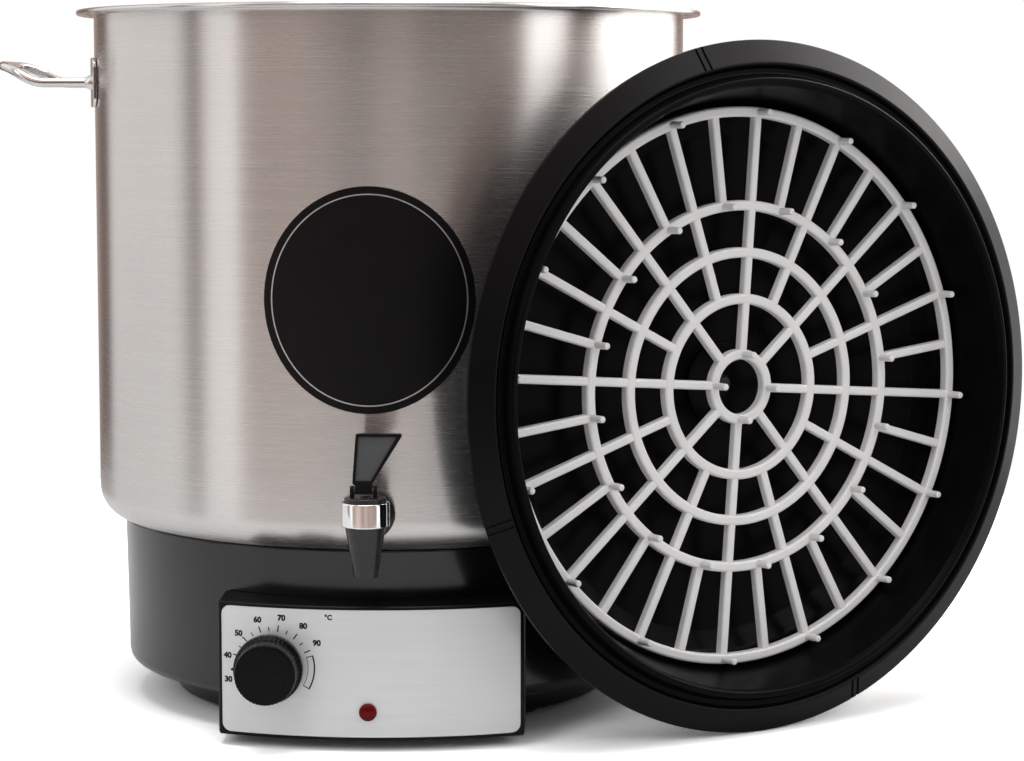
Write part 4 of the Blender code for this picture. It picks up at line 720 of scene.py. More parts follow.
def build_handles():
    low = HANDLE_HEIGHT - HANDLE_PLATE_HEIGHT / 2
    high = low + HANDLE_PLATE_HEIGHT
    path = handle_path()
    outline = rounded_rectangle(HANDLE_PLATE_WIDTH / 2, low, high, HANDLE_PLATE_CORNER)
    for side, angle in HANDLE_ANGLES.items():
        turn = round_z(angle)
        plate = bent_plate(
            f"handle_mount_{side}", outline, HANDLE_PLATE_WIDTH / 2, 40, (0, HANDLE_PLATE), (0.0005, 3),
            (POT_RADIUS + GAP, 0), "polished_steel", turn,
        )
        dress(plate, "polished_steel", f"handle_plate_{side}", even=True)
        bm = bmesh.new()
        sweep(bm, [(across, -out, HANDLE_HEIGHT + up) for out, across, up in path], HANDLE_WIRE, 28)
        dress(shaped(f"handle_wire_{side}", bm, "polished_steel", turn), "polished_steel", f"handle_{side}")
        for end in (-1, 1):
            build_weld(side, end, turn)


def build_weld(side, end, turn):
    """The weld round a wire's end, and the small rib under it."""
    face = POT_RADIUS + GAP + HANDLE_PLATE
    x = end * HANDLE_HALF_WIDTH
    start = math.sqrt(face**2 - HANDLE_HALF_WIDTH**2)
    ring = HANDLE_WIRE + 0.0007
    outline = [
        (HANDLE_WIRE + 0.0001, -0.0026), (ring + 0.0012, -0.0026), (ring + 0.0008, 0.0006),
        (ring, 0.0022), (HANDLE_WIRE + 0.0001, 0.0034),
    ]
    weld = lathe(
        f"handle_weld_{side}_{'low' if end < 0 else 'high'}", outline, "polished_steel",
        turn @ along_y(x, -start, HANDLE_HEIGHT), 32, 60,
    )
    drill(weld, face, 0.30, 0.42, None, 288, 60)
    dress(weld, "polished_steel")


def build_base():
    bottom = BASE_UNDERSIDE
    corner = (BASE_BOTTOM_RADIUS - BASE_CORNER, bottom + BASE_CORNER)
    inner = BASE_CORNER - BASE_WALL
    lip = BASE_TOP_RADIUS - BASE_LIP
    wall = BASE_TOP_RADIUS - BASE_WALL
    flange = BASE_BOTTOM_RADIUS - BASE_FLANGE
    outline = [
        (lip, BASE_TOP - BASE_WALL), (wall, BASE_TOP - BASE_WALL), (wall - 0.0002, 0.080),
        (BASE_BOTTOM_RADIUS - BASE_WALL + 0.0002, 0.040), *arc(corner, inner, 0, -90, 6),
        (flange, bottom + BASE_WALL), (flange, bottom), *arc(corner, BASE_CORNER, -90, 0, 12),
        *arc((BASE_TOP_RADIUS - 0.0012, BASE_TOP - 0.0012), 0.0012, 0, 90, 6), (lip, BASE_TOP),
    ]
    shell = lathe("base_ring", outline, "black_enamel", None, 288, 40)
    notch(
        shell, (-WINDOW_HALF_WIDTH, -FRONT_REACH, WINDOW_LOW), (WINDOW_HALF_WIDTH, -PAN_RADIUS, WINDOW_HIGH),
        None, 40,
    )
    for place in boss_places():
        drill(shell, SCREW_RADIUS + GAP, 0.11, 0.16, place, 24, 40)
    back = round_z(180) @ along_y(0, 0, GLAND_HEIGHT)
    drill(shell, 0.0080, 0.13, 0.17, back, 48, 40)
    dress(shell, "black_enamel", "base_shell", even=True)

    top = BASE_UNDERSIDE - GAP
    floor = PAN_UNDERSIDE + PAN_WALL
    pressed = PAN_UNDERSIDE - PAN_PRESSING
    outline = rounded([
        (0, pressed, 0), (PAN_PRESSING_RADIUS, pressed, 0.0006),
        (PAN_PRESSING_RADIUS + PAN_PRESSING, PAN_UNDERSIDE, 0.0006),
        (PAN_RADIUS, PAN_UNDERSIDE, 0.002), (PAN_RADIUS, top - PAN_WALL, 0.001),
        (PAN_FLANGE_RADIUS, top - PAN_WALL, 0.0004), (PAN_FLANGE_RADIUS, top, 0.0004),
        (PAN_RADIUS - PAN_WALL, top, 0.001), (PAN_RADIUS - PAN_WALL, floor, 0.0008),
        (PAN_PRESSING_RADIUS + PAN_PRESSING, floor, 0.0006),
        (PAN_PRESSING_RADIUS, floor - PAN_PRESSING, 0.0006), (0, floor - PAN_PRESSING, 0),
    ], 4)
    pan = lathe("bottom_pan", outline, "black_enamel", None, 192, 40)
    for angle in FOOT_ANGLES:
        drill(pan, 0.0033, 0, 0.01, upright_at(FOOT_CIRCLE, angle), 24, 40)
    for angle in STUD_ANGLES:
        drill(pan, STUD_RADIUS + GAP, 0, 0.01, upright_at(STUD_CIRCLE, angle), 24, 40)
    dress(pan, "zinc_plated_steel", "floor_pan")

    outline = rounded([
        (0, 0, 0), (FOOT_RADIUS - GAP, 0, 0.001), (FOOT_RADIUS, PAN_UNDERSIDE - GAP, 0.0005),
        (0.003, PAN_UNDERSIDE - GAP, 0), (0.003, floor + GAP, 0), (0.0048, floor + GAP, 0.0004),
        (0.003, floor + GAP + 0.003, 0.0006), (0, floor + GAP + 0.003, 0),
    ], 4)
    for number, angle in enumerate(FOOT_ANGLES, 1):
        foot = lathe(
            f"rubber_foot_{number}", outline, "black_rubber", upright_at(FOOT_CIRCLE, angle), 64,
        )
        dress(foot, "black_rubber", f"foot_{number}")


def build_gland():
    seat = GLAND_SEAT + GAP
    place = round_z(180) @ along_y(0, 0, GLAND_HEIGHT)
    outline = rounded([
        (0.004, seat - 0.011, 0), (0.0075, seat - 0.011, 0.0003), (0.0075, seat, 0), (0.011, seat, 0.0003),
        (0.011, seat + 0.006, 0.0010), (0.0085, seat + 0.006, 0.0006), (0.00625, seat + 0.016, 0.0012),
        (0.004, seat + 0.016, 0.0006),
    ], 5)

    def grips(radius, height, angle):
        if radius < 0.0105 or not seat + 0.0008 < height < seat + 0.0055:
            return radius
        return radius - 0.0006 * max(0.0, math.cos(angle * 24)) ** 2

    gland = lathe("cord_gland", outline, "black_plastic", place, 192, 40, grips)
    dress(gland, "black_plastic", "cable_gland")


def housing_outline(reach, half_width, back):
    """Plan of the control housing."""
    radius = FRONT_RADIUS + reach - FRONT_REACH
    half_angle = math.degrees(math.asin(half_width / radius))
    front = arc((0, FRONT_CENTRE), radius, -90 - half_angle, -90 + half_angle, 72)
    if back is None:
        return front + [(half_width, 0), (-half_width, 0)]
    back_angle = math.degrees(math.asin(half_width / back))
    return front + arc((0, 0), back, -90 + back_angle, -90 - back_angle, 48)


def bowed_plate(name, inner, outer, half_width, low, high, corner, look=None, edge=None):
    """A piece of the bowed front between two reaches, with round corners."""
    outline = rounded_rectangle(half_width, low, high, corner)
    return bent_plate(name, outline, half_width, 72, (0, outer - inner), edge, front_bow(inner), look)


def build_housing():
    share = (HOUSING_TOP - BASE_UNDERSIDE - BASE_CORNER) / (BASE_TOP - BASE_UNDERSIDE - BASE_CORNER)
    back = BASE_BOTTOM_RADIUS + share * (BASE_TOP_RADIUS - BASE_BOTTOM_RADIUS) + GAP
    housing = prism(
        "control_box", housing_outline(FRONT_REACH, HOUSING_HALF_WIDTH, back), HOUSING_UNDERSIDE,
        HOUSING_TOP, "black_plastic", None, HOUSING_EDGE, 4,
    )
    panel_back = FRONT_REACH - PANEL_RECESS - PANEL_THICKNESS
    hollow_reach = panel_back - GAP - HOUSING_WALL
    hollow = prism(
        "hollow", housing_outline(hollow_reach, HOUSING_HALF_WIDTH - HOUSING_WALL, None),
        HOUSING_UNDERSIDE + HOUSING_WALL, HOUSING_TOP - HOUSING_WALL,
    )
    for place in boss_places():
        drill(hollow, BOSS_RADIUS, -0.004, 0.190, place, 32)
    cut(housing, hollow)
    for place in boss_places():
        drill(housing, SCREW_RADIUS + GAP, 0.11, 0.162, place, 24)
    cut(housing, bowed_plate(
        "pocket", panel_back - GAP, FRONT_REACH + 0.004, HOUSING_HALF_WIDTH - PANEL_MARGIN + GAP,
        HOUSING_UNDERSIDE + PANEL_MARGIN - GAP, HOUSING_TOP - PANEL_MARGIN + GAP, PANEL_CORNER + GAP,
    ))
    panel = bowed_plate(
        "front_panel", panel_back, panel_back + PANEL_THICKNESS, HOUSING_HALF_WIDTH - PANEL_MARGIN,
        HOUSING_UNDERSIDE + PANEL_MARGIN, HOUSING_TOP - PANEL_MARGIN, PANEL_CORNER, "brushed_silver",
        (0.0002, 2),
    )
    holes = ((DIAL_SIDE, DIAL_HEIGHT, BUSH_RADIUS + GAP), (LAMP_SIDE, LAMP_HEIGHT, LENS_STEM + GAP))
    for x, z, radius in holes:
        for target in (housing, panel):
            drill(target, radius, 0.155, 0.195, along_y(x, 0, z), 48)
    dress(housing, "black_plastic", "control_housing", even=True)
    dress(panel, "brushed_silver", "control_panel", even=True)


def build_knob():
    place = along_y(DIAL_SIDE, 0, DIAL_HEIGHT)
    end = KNOB_BACK + KNOB_DEPTH
    skirt = KNOB_BACK + KNOB_SKIRT
    outline = rounded([
        (0.0080, KNOB_BACK, 0), (KNOB_RADIUS, KNOB_BACK, 0.0004), (KNOB_RADIUS, skirt, 0.0018),
        (KNOB_FACE_RADIUS + 0.0004, skirt + 0.0022, 0.0010), (KNOB_FACE_RADIUS, end, 0.0016),
        (0, end - 0.0003, 0), (0, KNOB_BACK + 0.0145, 0), (0.0033, KNOB_BACK + 0.0145, 0),
        (0.0033, KNOB_BACK + 0.004, 0), (0.0080, KNOB_BACK + 0.004, 0),
    ], 8)

    def ribs(radius, height, angle):
        if radius < KNOB_FACE_RADIUS - 0.002 or height < skirt or height > end - 0.0006:
            return radius
        return radius - KNOB_RIB_DEPTH * 0.3 * (1 - math.cos(angle * KNOB_RIBS * 2))

    knob = lathe("dial_knob", outline, "gloss_black_plastic", place, 240, 40, ribs)
    nub = [(-0.0172, -0.0009), (-0.0172, 0.0009), (-0.0204, 0.0004), (-0.0204, -0.0004)]
    pointer = prism(
        "knob_pointer", nub, KNOB_BACK + GAP, KNOB_BACK + 0.0040, "gloss_black_plastic", place, 0.0003,
    )
    dress(knob, "gloss_black_plastic", "control_knob", body="knob")
    dress(pointer, "gloss_black_plastic", body="knob")


def build_lens():
    seat = FRONT_REACH - PANEL_RECESS + GAP
    stem = seat - LENS_STEM_LENGTH
    rise = seat + LENS_FLANGE
    outline = [
        (0, stem), (LENS_STEM, stem), (LENS_STEM, seat), (LENS_RADIUS, seat),
        *((LENS_RADIUS * math.cos(a), rise + LENS_RISE * math.sin(a))
          for a in (i * QUARTER_TURN / 12 for i in range(12))),
        (0, rise + LENS_RISE),
    ]
    lens = lathe("lamp_lens", outline, "red_lens", along_y(LAMP_SIDE, 0, LAMP_HEIGHT), 64)
    dress(lens, "red_lens", "pilot_lens")


def print_on_front(name, bm):
    bend(bm, *front_bow(FRONT_REACH - PANEL_RECESS))
    dress(shaped(name, bm, "dial_print"), "black_plastic")


PRINT_RISE = 0.00004


def text_mesh(words, size, x, y, weight):
    """Words as a flat mesh centred on a place."""
    curve = bpy.data.curves.new("words", "FONT")
    curve.body = words
    curve.size = size
    curve.align_x = "CENTER"
    curve.align_y = "CENTER"
    curve.offset = weight
    curve.resolution_u = 4
    obj = linked("words", curve)
    graph = bpy.context.evaluated_depsgraph_get()
    mesh = bpy.data.meshes.new_from_object(obj.evaluated_get(graph))
    bm = bmesh.new()
    bm.from_mesh(mesh)
    bpy.data.objects.remove(obj)
    bpy.data.meshes.remove(mesh)
    bmesh.ops.translate(bm, verts=bm.verts, vec=(x, y, PRINT_RISE))
    return bm


def stroke(bm, points, width):
    """A flat line of a width along points."""
    points = [Vector(p) for p in points]
    left, right = [], []
    for i, point in enumerate(points):
        ahead = (points[min(i + 1, len(points) - 1)] - points[max(i - 1, 0)]).normalized()
        side = Vector((-ahead.y, ahead.x)) * width / 2
        left.append(bm.verts.new((*(point + side), PRINT_RISE)))
        right.append(bm.verts.new((*(point - side), PRINT_RISE)))
    for i in range(len(points) - 1):
        bm.faces.new((left[i], right[i], right[i + 1], left[i + 1]))


def dial_point(radius, degrees):
    """A point of the dial print, its angle counted clockwise from the top."""
    a = math.radians(degrees)
    return (PRINT_SIDE + radius * math.sin(a), PRINT_HEIGHT + radius * math.cos(a))


def build_print():
    for number, x, z in DIAL_NUMBERS:
        bm = text_mesh(str(number), DIAL_NUMBER_SIZE, PRINT_SIDE + x, PRINT_HEIGHT + z, 0.00026)
        print_on_front(f"dial_number_{number}", bm)
    bm = bmesh.new()
    for i in range(13):
        angle = DIAL_FIRST + DIAL_STEP * i / 2
        far, width = (0.0232, 0.00070) if i % 2 == 0 else (0.0219, 0.00058)
        stroke(bm, [dial_point(0.0196, angle), dial_point(far, angle)], width)
    print_on_front("dial_ticks", bm)
    bm = bmesh.new()
    start, end = BRACKET_ANGLES
    outer = [dial_point(0.0233, start + (end - start) * i / 24) for i in range(25)]
    inner = [dial_point(0.0197, end - (end - start) * i / 24) for i in range(25)]
    stroke(bm, outer, 0.00085)
    stroke(bm, inner, 0.00030)
    for angle in BRACKET_ANGLES:
        stroke(bm, [dial_point(0.0195, angle), dial_point(0.0236, angle)], 0.00050)
    print_on_front("dial_bracket", bm)
    bm = text_mesh("°C", 0.0038, -0.0222, 0.0745, 0.00020)
    print_on_front("dial_unit", bm)


def build_label():
    """A plain oval label on the pot, with a thin silver line inside its edge."""
    def oval(inset, steps):
        width, height = LABEL_HALF_WIDTH - inset, LABEL_HALF_HEIGHT - inset
        return [(width * math.cos(a), LABEL_MIDDLE + height * math.sin(a)) for a in turns(steps)]

    label = bent_plate(
        "pot_label", oval(0, 160), LABEL_HALF_WIDTH, 48, (0.00002, 0.00032), (0.00012, 2),
        (POT_RADIUS, 0), "black_label",
    )
    dress(label, "gloss_black_plastic", even=True)
    bm = bmesh.new()
    outer, inner = [
        [bm.verts.new((*point, 0.00037)) for point in oval(inset, 200)]
        for inset in (LABEL_LINE_INSET, LABEL_LINE_INSET + LABEL_LINE_WIDTH)
    ]
    skin(bm, outer, inner)
    bend(bm, POT_RADIUS, 0)
    dress(shaped("pot_label_line", bm, "silver_line"), "brushed_silver")


def build_tap():
    upright = Matrix.Translation((0, TAP_AXIS, 0))
    lying = along_y(0, 0, TAP_HEIGHT)
    outline = rounded([
        (0, 0.162, 0), (SHANK_RADIUS, 0.162, 0.0005), (SHANK_RADIUS, FLANGE_BACK, 0),
        (FLANGE_RADIUS, FLANGE_BACK, 0.0004), (FLANGE_RADIUS, FLANGE_FRONT, 0.0010),
        (SHANK_RADIUS, 0.1856, 0.0015), (SHANK_RADIUS, -TAP_AXIS, 0), (0, -TAP_AXIS, 0),
    ], 5)
    body = lathe("tap_spout", outline, "tap_plastic", lying, 96)
    outline = rounded([
        (0, SPOUT_TIP, 0), (SPOUT_TIP_RADIUS, SPOUT_TIP, 0.0006),
        (SPOUT_TOP_RADIUS, SPOUT_TOP - 0.0006, 0.0004),
        (BARREL_RADIUS, SPOUT_TOP, 0), (BARREL_RADIUS, BONNET_LOW - GAP, 0), (0, BONNET_LOW - GAP, 0),
    ], 5)
    join(body, lathe("barrel", outline, None, upright, 97))
    outline = [
        (0, SPOUT_TIP - 0.004), (OUTLET_BORE, SPOUT_TIP - 0.004), (OUTLET_BORE, 0.1235), (0.0080, 0.1238),
        (0.0080, 0.146), (0, 0.146),
    ]
    cut(body, lathe("bore", outline, None, upright, 64))
    drill(body, 0.0048, 0.155, -TAP_AXIS, lying, 49)
    dress(body, "black_plastic", "tap_body", even=True)

    back = POT_RADIUS + GAP
    outline = box_outline(SHANK_RADIUS + GAP, FLANGE_RADIUS, back, back + 0.002, (0, 0.0005, 0.0005, 0))
    dress(lathe("tap_gasket", outline, "black_rubber", lying, 96), "black_rubber", "tap_washer")

    outline = box_outline(
        BARREL_RADIUS + GAP, COLLAR_RADIUS, SPOUT_TOP, COLLAR_TOP, (0, 0.0012, 0.0012, 0), 6,
    )
    collar = lathe("tap_ring", outline, "chrome", upright, 128)
    drill(collar, SHANK_RADIUS + GAP, POT_RADIUS, -TAP_AXIS, lying, 96)
    dress(collar, "chrome", "tap_collar", even=True)

    outline = box_outline(0.0025, BARREL_RADIUS, BONNET_LOW, BONNET_TOP, (0, 0, 0.0008, 0))
    bonnet = lathe("tap_cap", outline, "tap_plastic", upright, 96)
    pin_place = Matrix.Translation((0, TAP_AXIS, PIN_HEIGHT)) @ Matrix.Rotation(QUARTER_TURN, 4, "Y")
    for left, right in ((-0.0081, -0.0059), (0.0045, 0.0067)):
        ear = box_outline(-0.0024, 0.0024, 0.1423, 0.1501, (0, 0, 0.0022, 0.0022), 6)
        join(bonnet, prism("ear", ear, left, right, None, upright @ ALONG_X, 0.0002))
    drill(bonnet, 0.0014, -0.012, 0.012, pin_place, 24)
    second_look(bonnet, "tap_handle_frame", lambda face: face.center.z > BONNET_TOP + 0.0003)
    dress(bonnet, "black_plastic", "tap_bonnet", even=True)
    outline = box_outline(0, 0.0011, -0.0081, 0.0067, (0, 0.0003, 0.0003, 0))
    dress(lathe("tap_axle", outline, "zinc_plated_steel", pin_place, 32), "zinc_plated_steel", "tap_pin")
    build_lever(pin_place)
    build_spring()


def build_lever(pin_place):
    place = along_y(0, TAP_AXIS, 0)
    half = LEVER_DEPTH / 2
    outline = rounded([
        (-0.0054, 0.1458, 0.0006), (0.0040, 0.1458, 0.0006), (0.0040, 0.1515, 0.0010),
        (0.0200, 0.1772, 0.0006), (0.0190, 0.1782, 0.0006), (-0.0048, 0.1782, 0.0006),
        (-0.0068, 0.1515, 0.0004), (-0.0054, 0.1505, 0.0004),
    ], 4)
    lever = prism("tap_handle", outline, -half, half, "tap_handle_frame", place, 0.00025)
    inset = rounded([
        (-0.0053, 0.1528, 0.0003), (0.0031, 0.1528, 0.0003), (0.0172, 0.1768, 0.0003),
        (-0.0034, 0.1768, 0.0003),
    ], 3)
    cut(lever, prism("recess", inset, half - 0.0012, half + 0.004, None, place))
    cut(lever, prism("back", inset, -half - 0.004, half - 0.0034, None, place))
    drill(lever, 0.0016, -0.009, 0.009, pin_place, 24)
    level = TAP_AXIS - half + 0.0012
    second_look(lever, "tap_handle_face", lambda face: (
        face.normal.y < -0.9 and abs(face.center.y - level) < 0.0002 and face.center.z > 0.152
    ))
    dress(lever, "black_plastic", "tap_lever", body="lever", even=True)


def build_spring():
    """The plunger's spring as a real coil."""
    low, high, wire, coil, around = SPRING_LOW, SPRING_HIGH, SPRING_WIRE, SPRING_RADIUS, 24
    steps = int(SPRING_TURNS * around)
    points = []
    for i in range(steps + 1):
        a = FULL_TURN * i / around
        share = min(1.0, max(0.0, (i - around) / (steps - 2 * around)))
        z = low + wire + (high - low - 2 * wire) * share
        points.append((coil * math.cos(a), TAP_AXIS + coil * math.sin(a), z))
    bm = bmesh.new()
    sweep(bm, points, wire, 10)
    spring = shaped("tap_coil", bm, "polished_steel", None, 60)
    dress(spring, "polished_steel", "tap_spring")
    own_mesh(spring)


def build_lid():
    place = lid_matrix()
    outline = rounded([
        (0.0028, -0.0395, 0), (0.024, -0.0395, 0.0006), (0.0243, -0.0425, 0.0006), (0.1415, -0.0385, 0.006),
        (0.1535, -0.034, 0.006), (0.1610, -0.024, 0.004), (0.1687, 0.007, 0.002), (0.1702, 0.010, 0.0008),
        (0.1732, 0.010, 0.0010), (0.1756, 0.0036, 0.0010), (0.1786, 0.0036, 0.0010), (0.181, 0.0064, 0.0020),
        (0.1945, 0, 0.0008), (0.1945, -0.003, 0.0008), (0.181, 0.0031, 0.0010), (0.1771, 0.0006, 0.0010),
        (0.1717, -0.003, 0.0015), (0.1640, -0.025, 0.004), (0.1559, -0.037, 0.006), (0.1425, -0.0415, 0.006),
        (0.019, -0.0455, 0), (0.0028, -0.0455, 0),
    ], 6)
    lid = lathe("lid_cover", outline, "lid_plastic", place, 288, 42)
    for angle in GROOVE_ANGLES:
        turn = place @ round_z(angle)
        on_flange = turn @ Matrix.Translation(FLANGE_MIDDLE) @ Matrix.Rotation(FLANGE_SLOPE, 4, "Y")
        for shift in (-GROOVE_SHIFT, GROOVE_SHIFT):
            notch(
                lid, (-GROOVE_INWARDS, shift - GROOVE_HALF_WIDTH, -GROOVE_DEPTH),
                (0.012, shift + GROOVE_HALF_WIDTH, 0.010), on_flange, 42,
            )
    local = place.inverted()

    def inside(face):
        centre = local @ face.center
        facing = (local.to_3x3() @ face.normal).z
        return math.hypot(centre.x, centre.y) < 0.1808 and (facing > -0.2 or centre.z > 0.0001)

    # The faces inside the flange take the darker copy of the lid's plastic: painted shade in the recess
    second_look(lid, "lid_recess_painted_shade", inside)
    dress(lid, "lid_plastic", "lid_shell", body="lid", even=True)

    bore, foot = 0.0028, -0.0458
    outline = rounded([
        (bore, foot, 0), (0.019, foot, 0.0006), (0.014, -0.0542, 0.004), (0.0143, -0.0584, 0.004),
        (0.027, -0.0660, 0.003), (0.027, -0.0704, 0.0022), (0.022, -0.0738, 0.003), (0, -0.0738, 0),
        (0, -0.0578, 0), (bore, -0.0578, 0),
    ], 8)
    knob = lathe("lid_grip", outline, "gloss_black_plastic", place, 128)
    dress(knob, "gloss_black_plastic", "lid_knob", body="lid")
    outline = rounded([
        (0, -0.0362, 0), (0.0036, -0.0362, 0.0008), (0.006, -0.0392, 0.0004), (0.0025, -0.0392, 0),
        (0.0025, -0.0575, 0), (0, -0.0575, 0),
    ], 5)
    # The zinc screw takes a near-black look: painted shade of the hub it sits in
    screw = lathe("lid_fixing", outline, "screw_painted_shade", place, 48)
    notch(screw, (-0.009, -0.0005, -0.0373), (0.009, 0.0005, -0.030), place)
    dress(screw, "zinc_plated_steel", "lid_screw", body="lid")


def place_after(bm, count, place):
    """Moves what was built after a count of points."""
    bm.verts.ensure_lookup_table()
    bmesh.ops.transform(bm, matrix=place, verts=bm.verts[count:])


def build_rack():
    place = lid_matrix() @ Matrix.Translation((0, -RACK_DROP, 0)) @ Matrix.Rotation(RACK_TURN, 4, "Z")
    half = RACK_RING_WIDTH / 2
    bm = bmesh.new()
    for radius, segments in zip(RACK_RINGS, (72, 120, 160, 200, 280)):
        radii = (0.0006, 0.0006, 0.0016, 0.0016)
        outline = box_outline(radius - half, radius + half, RACK_BACK, RACK_FRONT, radii, 5)
        lathe_mesh(bm, outline, segments)
    starts = {0: RACK_RINGS[0], 2: RACK_RINGS[1], 1: RACK_RINGS[3], 3: RACK_RINGS[3]}
    pins = []
    wide = RACK_BAR_WIDTH / 2
    radii = (0.0006, 0.0006, 0.0014, 0.0014)
    section = box_outline(-wide, wide, RACK_BAR_BACK, RACK_BAR_FRONT, radii, 5)
    for number, angle in enumerate(turns(RACK_SPOKES)):
        count = len(bm.verts)
        prism_mesh(bm, section, starts[number % 4], RACK_RINGS[-1])
        place_after(bm, count, Matrix.Rotation(angle, 4, "Z") @ ALONG_X)
        pins.append((RACK_RINGS[-1] if number % 2 == 0 else RACK_RINGS[3], angle))
    pins += [(RACK_RINGS[0], angle) for angle in turns(4)]
    foot = rounded([(0, -0.0231, 0), (0.0021, -0.0231, 0), (0.0019, -0.010, 0.0009), (0, -0.010, 0)], 5)
    for radius, angle in pins:
        count = len(bm.verts)
        lathe_mesh(bm, foot, 20)
        place_after(bm, count, Matrix.Rotation(angle, 4, "Z") @ Matrix.Translation((radius, 0, 0)))
    rack = shaped("lid_rack", bm, "white_plastic", place, 40)
    dress(rack, "white_plastic", "rack", body="rack", even=True)


CARRIED_LOOKS = {
    "zinc_plated_steel": (
        "stud_", "reflector_nut_", "pan_nut_", "housing_screw_", "thermostat_nut", "thermostat_shaft",
        "bulb_clip",
    ),
    "aluminium": ("heat_spreader", "heat_reflector"),
    "heater_sheath": ("heating_element",),
    "polished_steel": ("thermal_cutout",),
    "pale_insulator": ("terminal_block", "thermostat_body", "pilot_lamp"),
    "copper": ("sensor_bulb", "capillary_tube"),
    "black_plastic": ("gland_nut", "tap_nut"),
    "black_rubber": ("tap_seal", "tap_plunger"),
}


def dress_carried_nodes():
    """Gives the CAD nodes that stay their finished materials."""
    for look, starts in CARRIED_LOOKS.items():
        for name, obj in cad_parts.items():
            if name.startswith(starts):
                for slot in obj.material_slots:
                    slot.material = LOOKS[look]


# Studio

FLOOR_RADIUS = 0.95
FLOOR_TONES = (0.80, 0.95, 1.95)
FLOOR_SIDES = 96
WALL_RADIUS = 2.0
WALL_LOW = -1.4
WALL_HIGH = 2.6
WALL_SIDES = 128
WORLD_STRENGTHS = (0.46, 1.0)


def mixed_shader(tree, share, first, second):
    return add(tree, "MixShader", {"Fac": share, 1: first, 2: second})


def circle(bm, radius, height, sides):
    return [bm.verts.new((radius * math.cos(a), radius * math.sin(a), height)) for a in turns(sides)]


def studio_material(name):
    """The node tree of a new material, and the socket that takes its surface."""
    tree = new_material(name)
    tree.nodes.remove(tree.nodes["Principled BSDF"])
    return tree, tree.nodes["Material Output"].inputs["Surface"]


def build_floor():
    """The floor, with a tone for the light it gives, for what metal sees of it and for the camera."""
    bm = bmesh.new()
    bm.faces.new(circle(bm, FLOOR_RADIUS, 0, FLOOR_SIDES))
    tree, output = studio_material("studio_floor")
    plain, mirrored, exposed = [
        add(tree, "BsdfDiffuse", {"Color": (tone, tone, tone, 1)}) for tone in FLOOR_TONES
    ]
    path = add(tree, "LightPath").outputs
    inner = mixed_shader(tree, path["Is Glossy Ray"], plain, mirrored)
    feed(tree, mixed_shader(tree, path["Is Camera Ray"], inner, exposed), output)
    floor = shaped("studio_floor", bm, "studio_floor")


def studio_level(degrees):
    """How bright the studio is towards an angle: the room, or the card that stands there."""
    level = ROOM_LEVEL
    for first, last, edge, card in STUDIO_CARDS:
        outside = max(first - degrees, degrees - last, 0)
        level = max(level, card + (ROOM_LEVEL - card) * min(1.0, outside / edge))
    return level


def studio_stops():
    """The angles where a card or its soft edge begins or ends."""
    angles = {-180, 180}
    for first, last, edge, card in STUDIO_CARDS:
        angles.update((first - edge, first, last, last + edge))
    return sorted(angle for angle in angles if -180 <= angle <= 180)


def stops_ramp(tree, source, rows):
    """A colour ramp round the walls, with a row of degrees and three values for each stop."""
    node = add(tree, "ValToRGB", {"Fac": source})
    stops = node.color_ramp
    stops.interpolation = "EASE"
    while len(stops.elements) < len(rows):
        stops.elements.new(0.5)
    for stop, row in zip(stops.elements, rows):
        stop.position = (row[0] + 180) / 360
    for stop, row in zip(stops.elements, rows):
        stop.color = (*row[1:], 1)
    return node


def mixed_number(tree, share, first, second):
    inputs = {"Factor": share, "A": first, "B": second}
    return add(tree, "Mix", inputs, data_type="FLOAT")


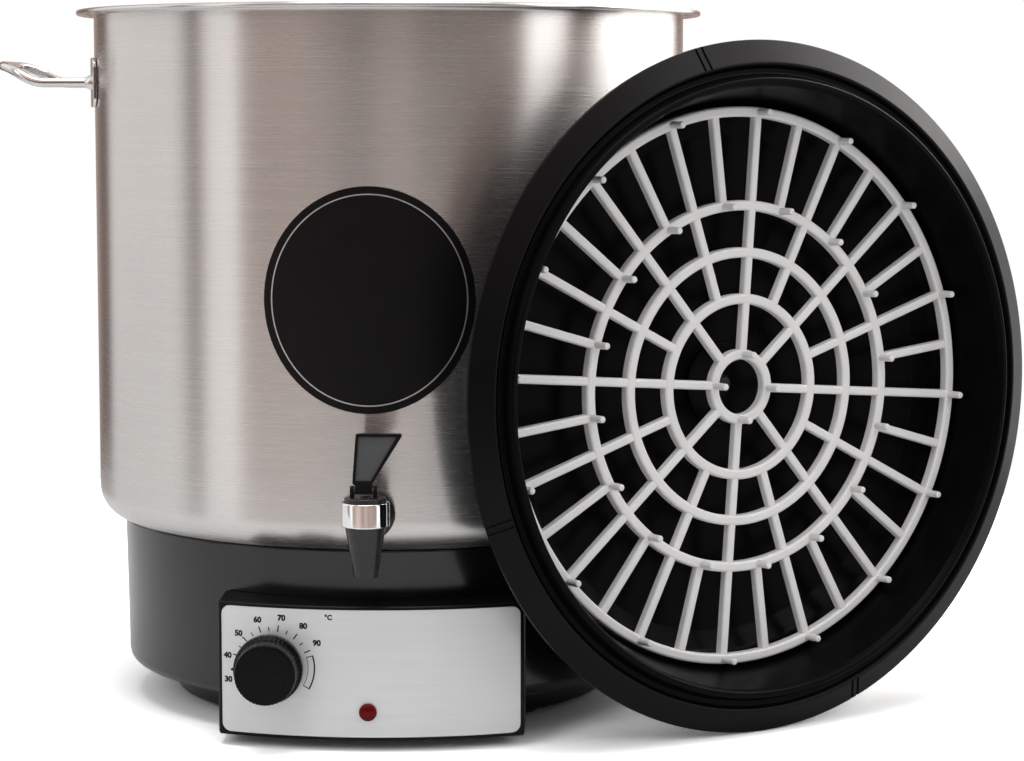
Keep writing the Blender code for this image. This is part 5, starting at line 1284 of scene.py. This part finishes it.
def build_wall():
    """The studio's walls, which only shiny surfaces see."""
    bm = bmesh.new()
    lower, upper = [circle(bm, WALL_RADIUS, z, WALL_SIDES) for z in (WALL_LOW, WALL_HIGH)]
    for i in range(WALL_SIDES):
        j = (i + 1) % WALL_SIDES
        bm.faces.new((lower[i], upper[i], upper[j], lower[j]))
    tree, output = studio_material("studio_wall")
    place = add(tree, "TexCoord").outputs["Object"]
    parts = add(tree, "SeparateXYZ", {"Vector": place}).outputs
    angle = arithmetic(tree, "ARCTAN2", parts["Y"], parts["X"])
    share = spread(tree, angle, 0.0, 1.0, -math.pi, math.pi)
    cards = []
    for degrees in studio_stops():
        level = studio_level(degrees)
        warmth = CARD_WARMTH if level > 3 * ROOM_LEVEL else ROOM_WARMTH
        cards.append((degrees, level, level * (1 - warmth * 0.75), level * (1 - warmth)))
    bands = stops_ramp(tree, share, cards)
    factors = add(tree, "SeparateColor", {"Color": stops_ramp(tree, share, WALL_HEIGHTS)})
    eye_level, above, below = [factors.outputs[c] for c in ("Red", "Green", "Blue")]
    smooth = {"interpolation_type": "SMOOTHSTEP"}
    upwards = spread(tree, parts["Z"], 0, 1, 0.55, 0.95, **smooth)
    downwards = spread(tree, parts["Z"], 0, 1, 0.06, -0.10, **smooth)
    strength = mixed_number(tree, upwards, eye_level, above)
    strength = mixed_number(tree, downwards, strength, below)
    far_down = spread(tree, parts["Z"], 1.0, 0.15, -0.22, -0.50, **smooth)
    strength = arithmetic(tree, "MULTIPLY", strength, far_down)
    glow = add(tree, "Emission", {"Strength": strength, "Color": bands})
    feed(tree, glow, output)
    wall = shaped("studio_wall", bm, "studio_wall")
    wall.rotation_euler = (0, 0, math.atan2(CAMERA_PLACE[1], CAMERA_PLACE[0]))
    for kind in ("camera", "diffuse", "shadow", "transmission", "volume_scatter"):
        setattr(wall, f"visible_{kind}", False)


def build_world():
    world = bpy.data.worlds.new("studio")
    bpy.context.scene.world = world
    world.use_nodes = True
    tree = world.node_tree
    tree.nodes.clear()
    output = add(tree, "OutputWorld")
    room, white = [
        add(tree, "Background", {"Color": (1, 1, 1, 1), "Strength": strength})
        for strength in WORLD_STRENGTHS
    ]
    path = add(tree, "LightPath").outputs
    seen = arithmetic(tree, "MAXIMUM", path["Is Camera Ray"], path["Is Glossy Ray"])
    seen = arithmetic(tree, "MAXIMUM", seen, path["Is Transmission Ray"])
    feed(tree, mixed_shader(tree, seen, room, white), output.inputs["Surface"])


def aimed(name, data, place, towards):
    """A lamp or a camera at a place, looking towards a direction."""
    obj = linked(name, data)
    obj.location = place
    obj.rotation_euler = Vector(towards).to_track_quat("-Z", "Y").to_euler()
    return obj


def build_lamps():
    lamps = {
        "top_lamp": ((0.0, -0.45, 2.3), (0.05, -0.05, 0.1), 1.4, 26.0, True),
        "front_lamp": ((-1.1, -1.9, 1.3), (0.05, -0.05, 0.2), 0.9, 6.0, False),
        "side_lamp": ((1.5, -1.5, 1.2), (0.2, -0.1, 0.2), 1.0, 8.0, False),
    }
    for name, (place, target, size, power, mirrored) in lamps.items():
        data = bpy.data.lights.new(name, "AREA")
        data.shape = "SQUARE"
        data.size = size
        data.energy = power
        lamp = aimed(name, data, place, Vector(target) - Vector(place))
        lamp.visible_glossy = mirrored


def build_camera():
    data = bpy.data.cameras.new("camera")
    data.lens = CAMERA_LENS
    data.sensor_width = SENSOR_WIDTH
    data.sensor_fit = "HORIZONTAL"
    data.clip_start = 0.05
    data.clip_end = 50.0
    bpy.context.scene.camera = aimed("camera", data, CAMERA_PLACE, CAMERA_FORWARD)


bpy.context.scene.view_settings.view_transform = "Standard"
for build in (
    build_camera, build_world, build_lamps, build_floor, build_wall, build_looks, build_pot, build_label,
    build_handles, build_base, build_gland, build_housing, build_knob, build_lens, build_print, build_tap,
    build_lid, build_rack, dress_carried_nodes,
):
    build()
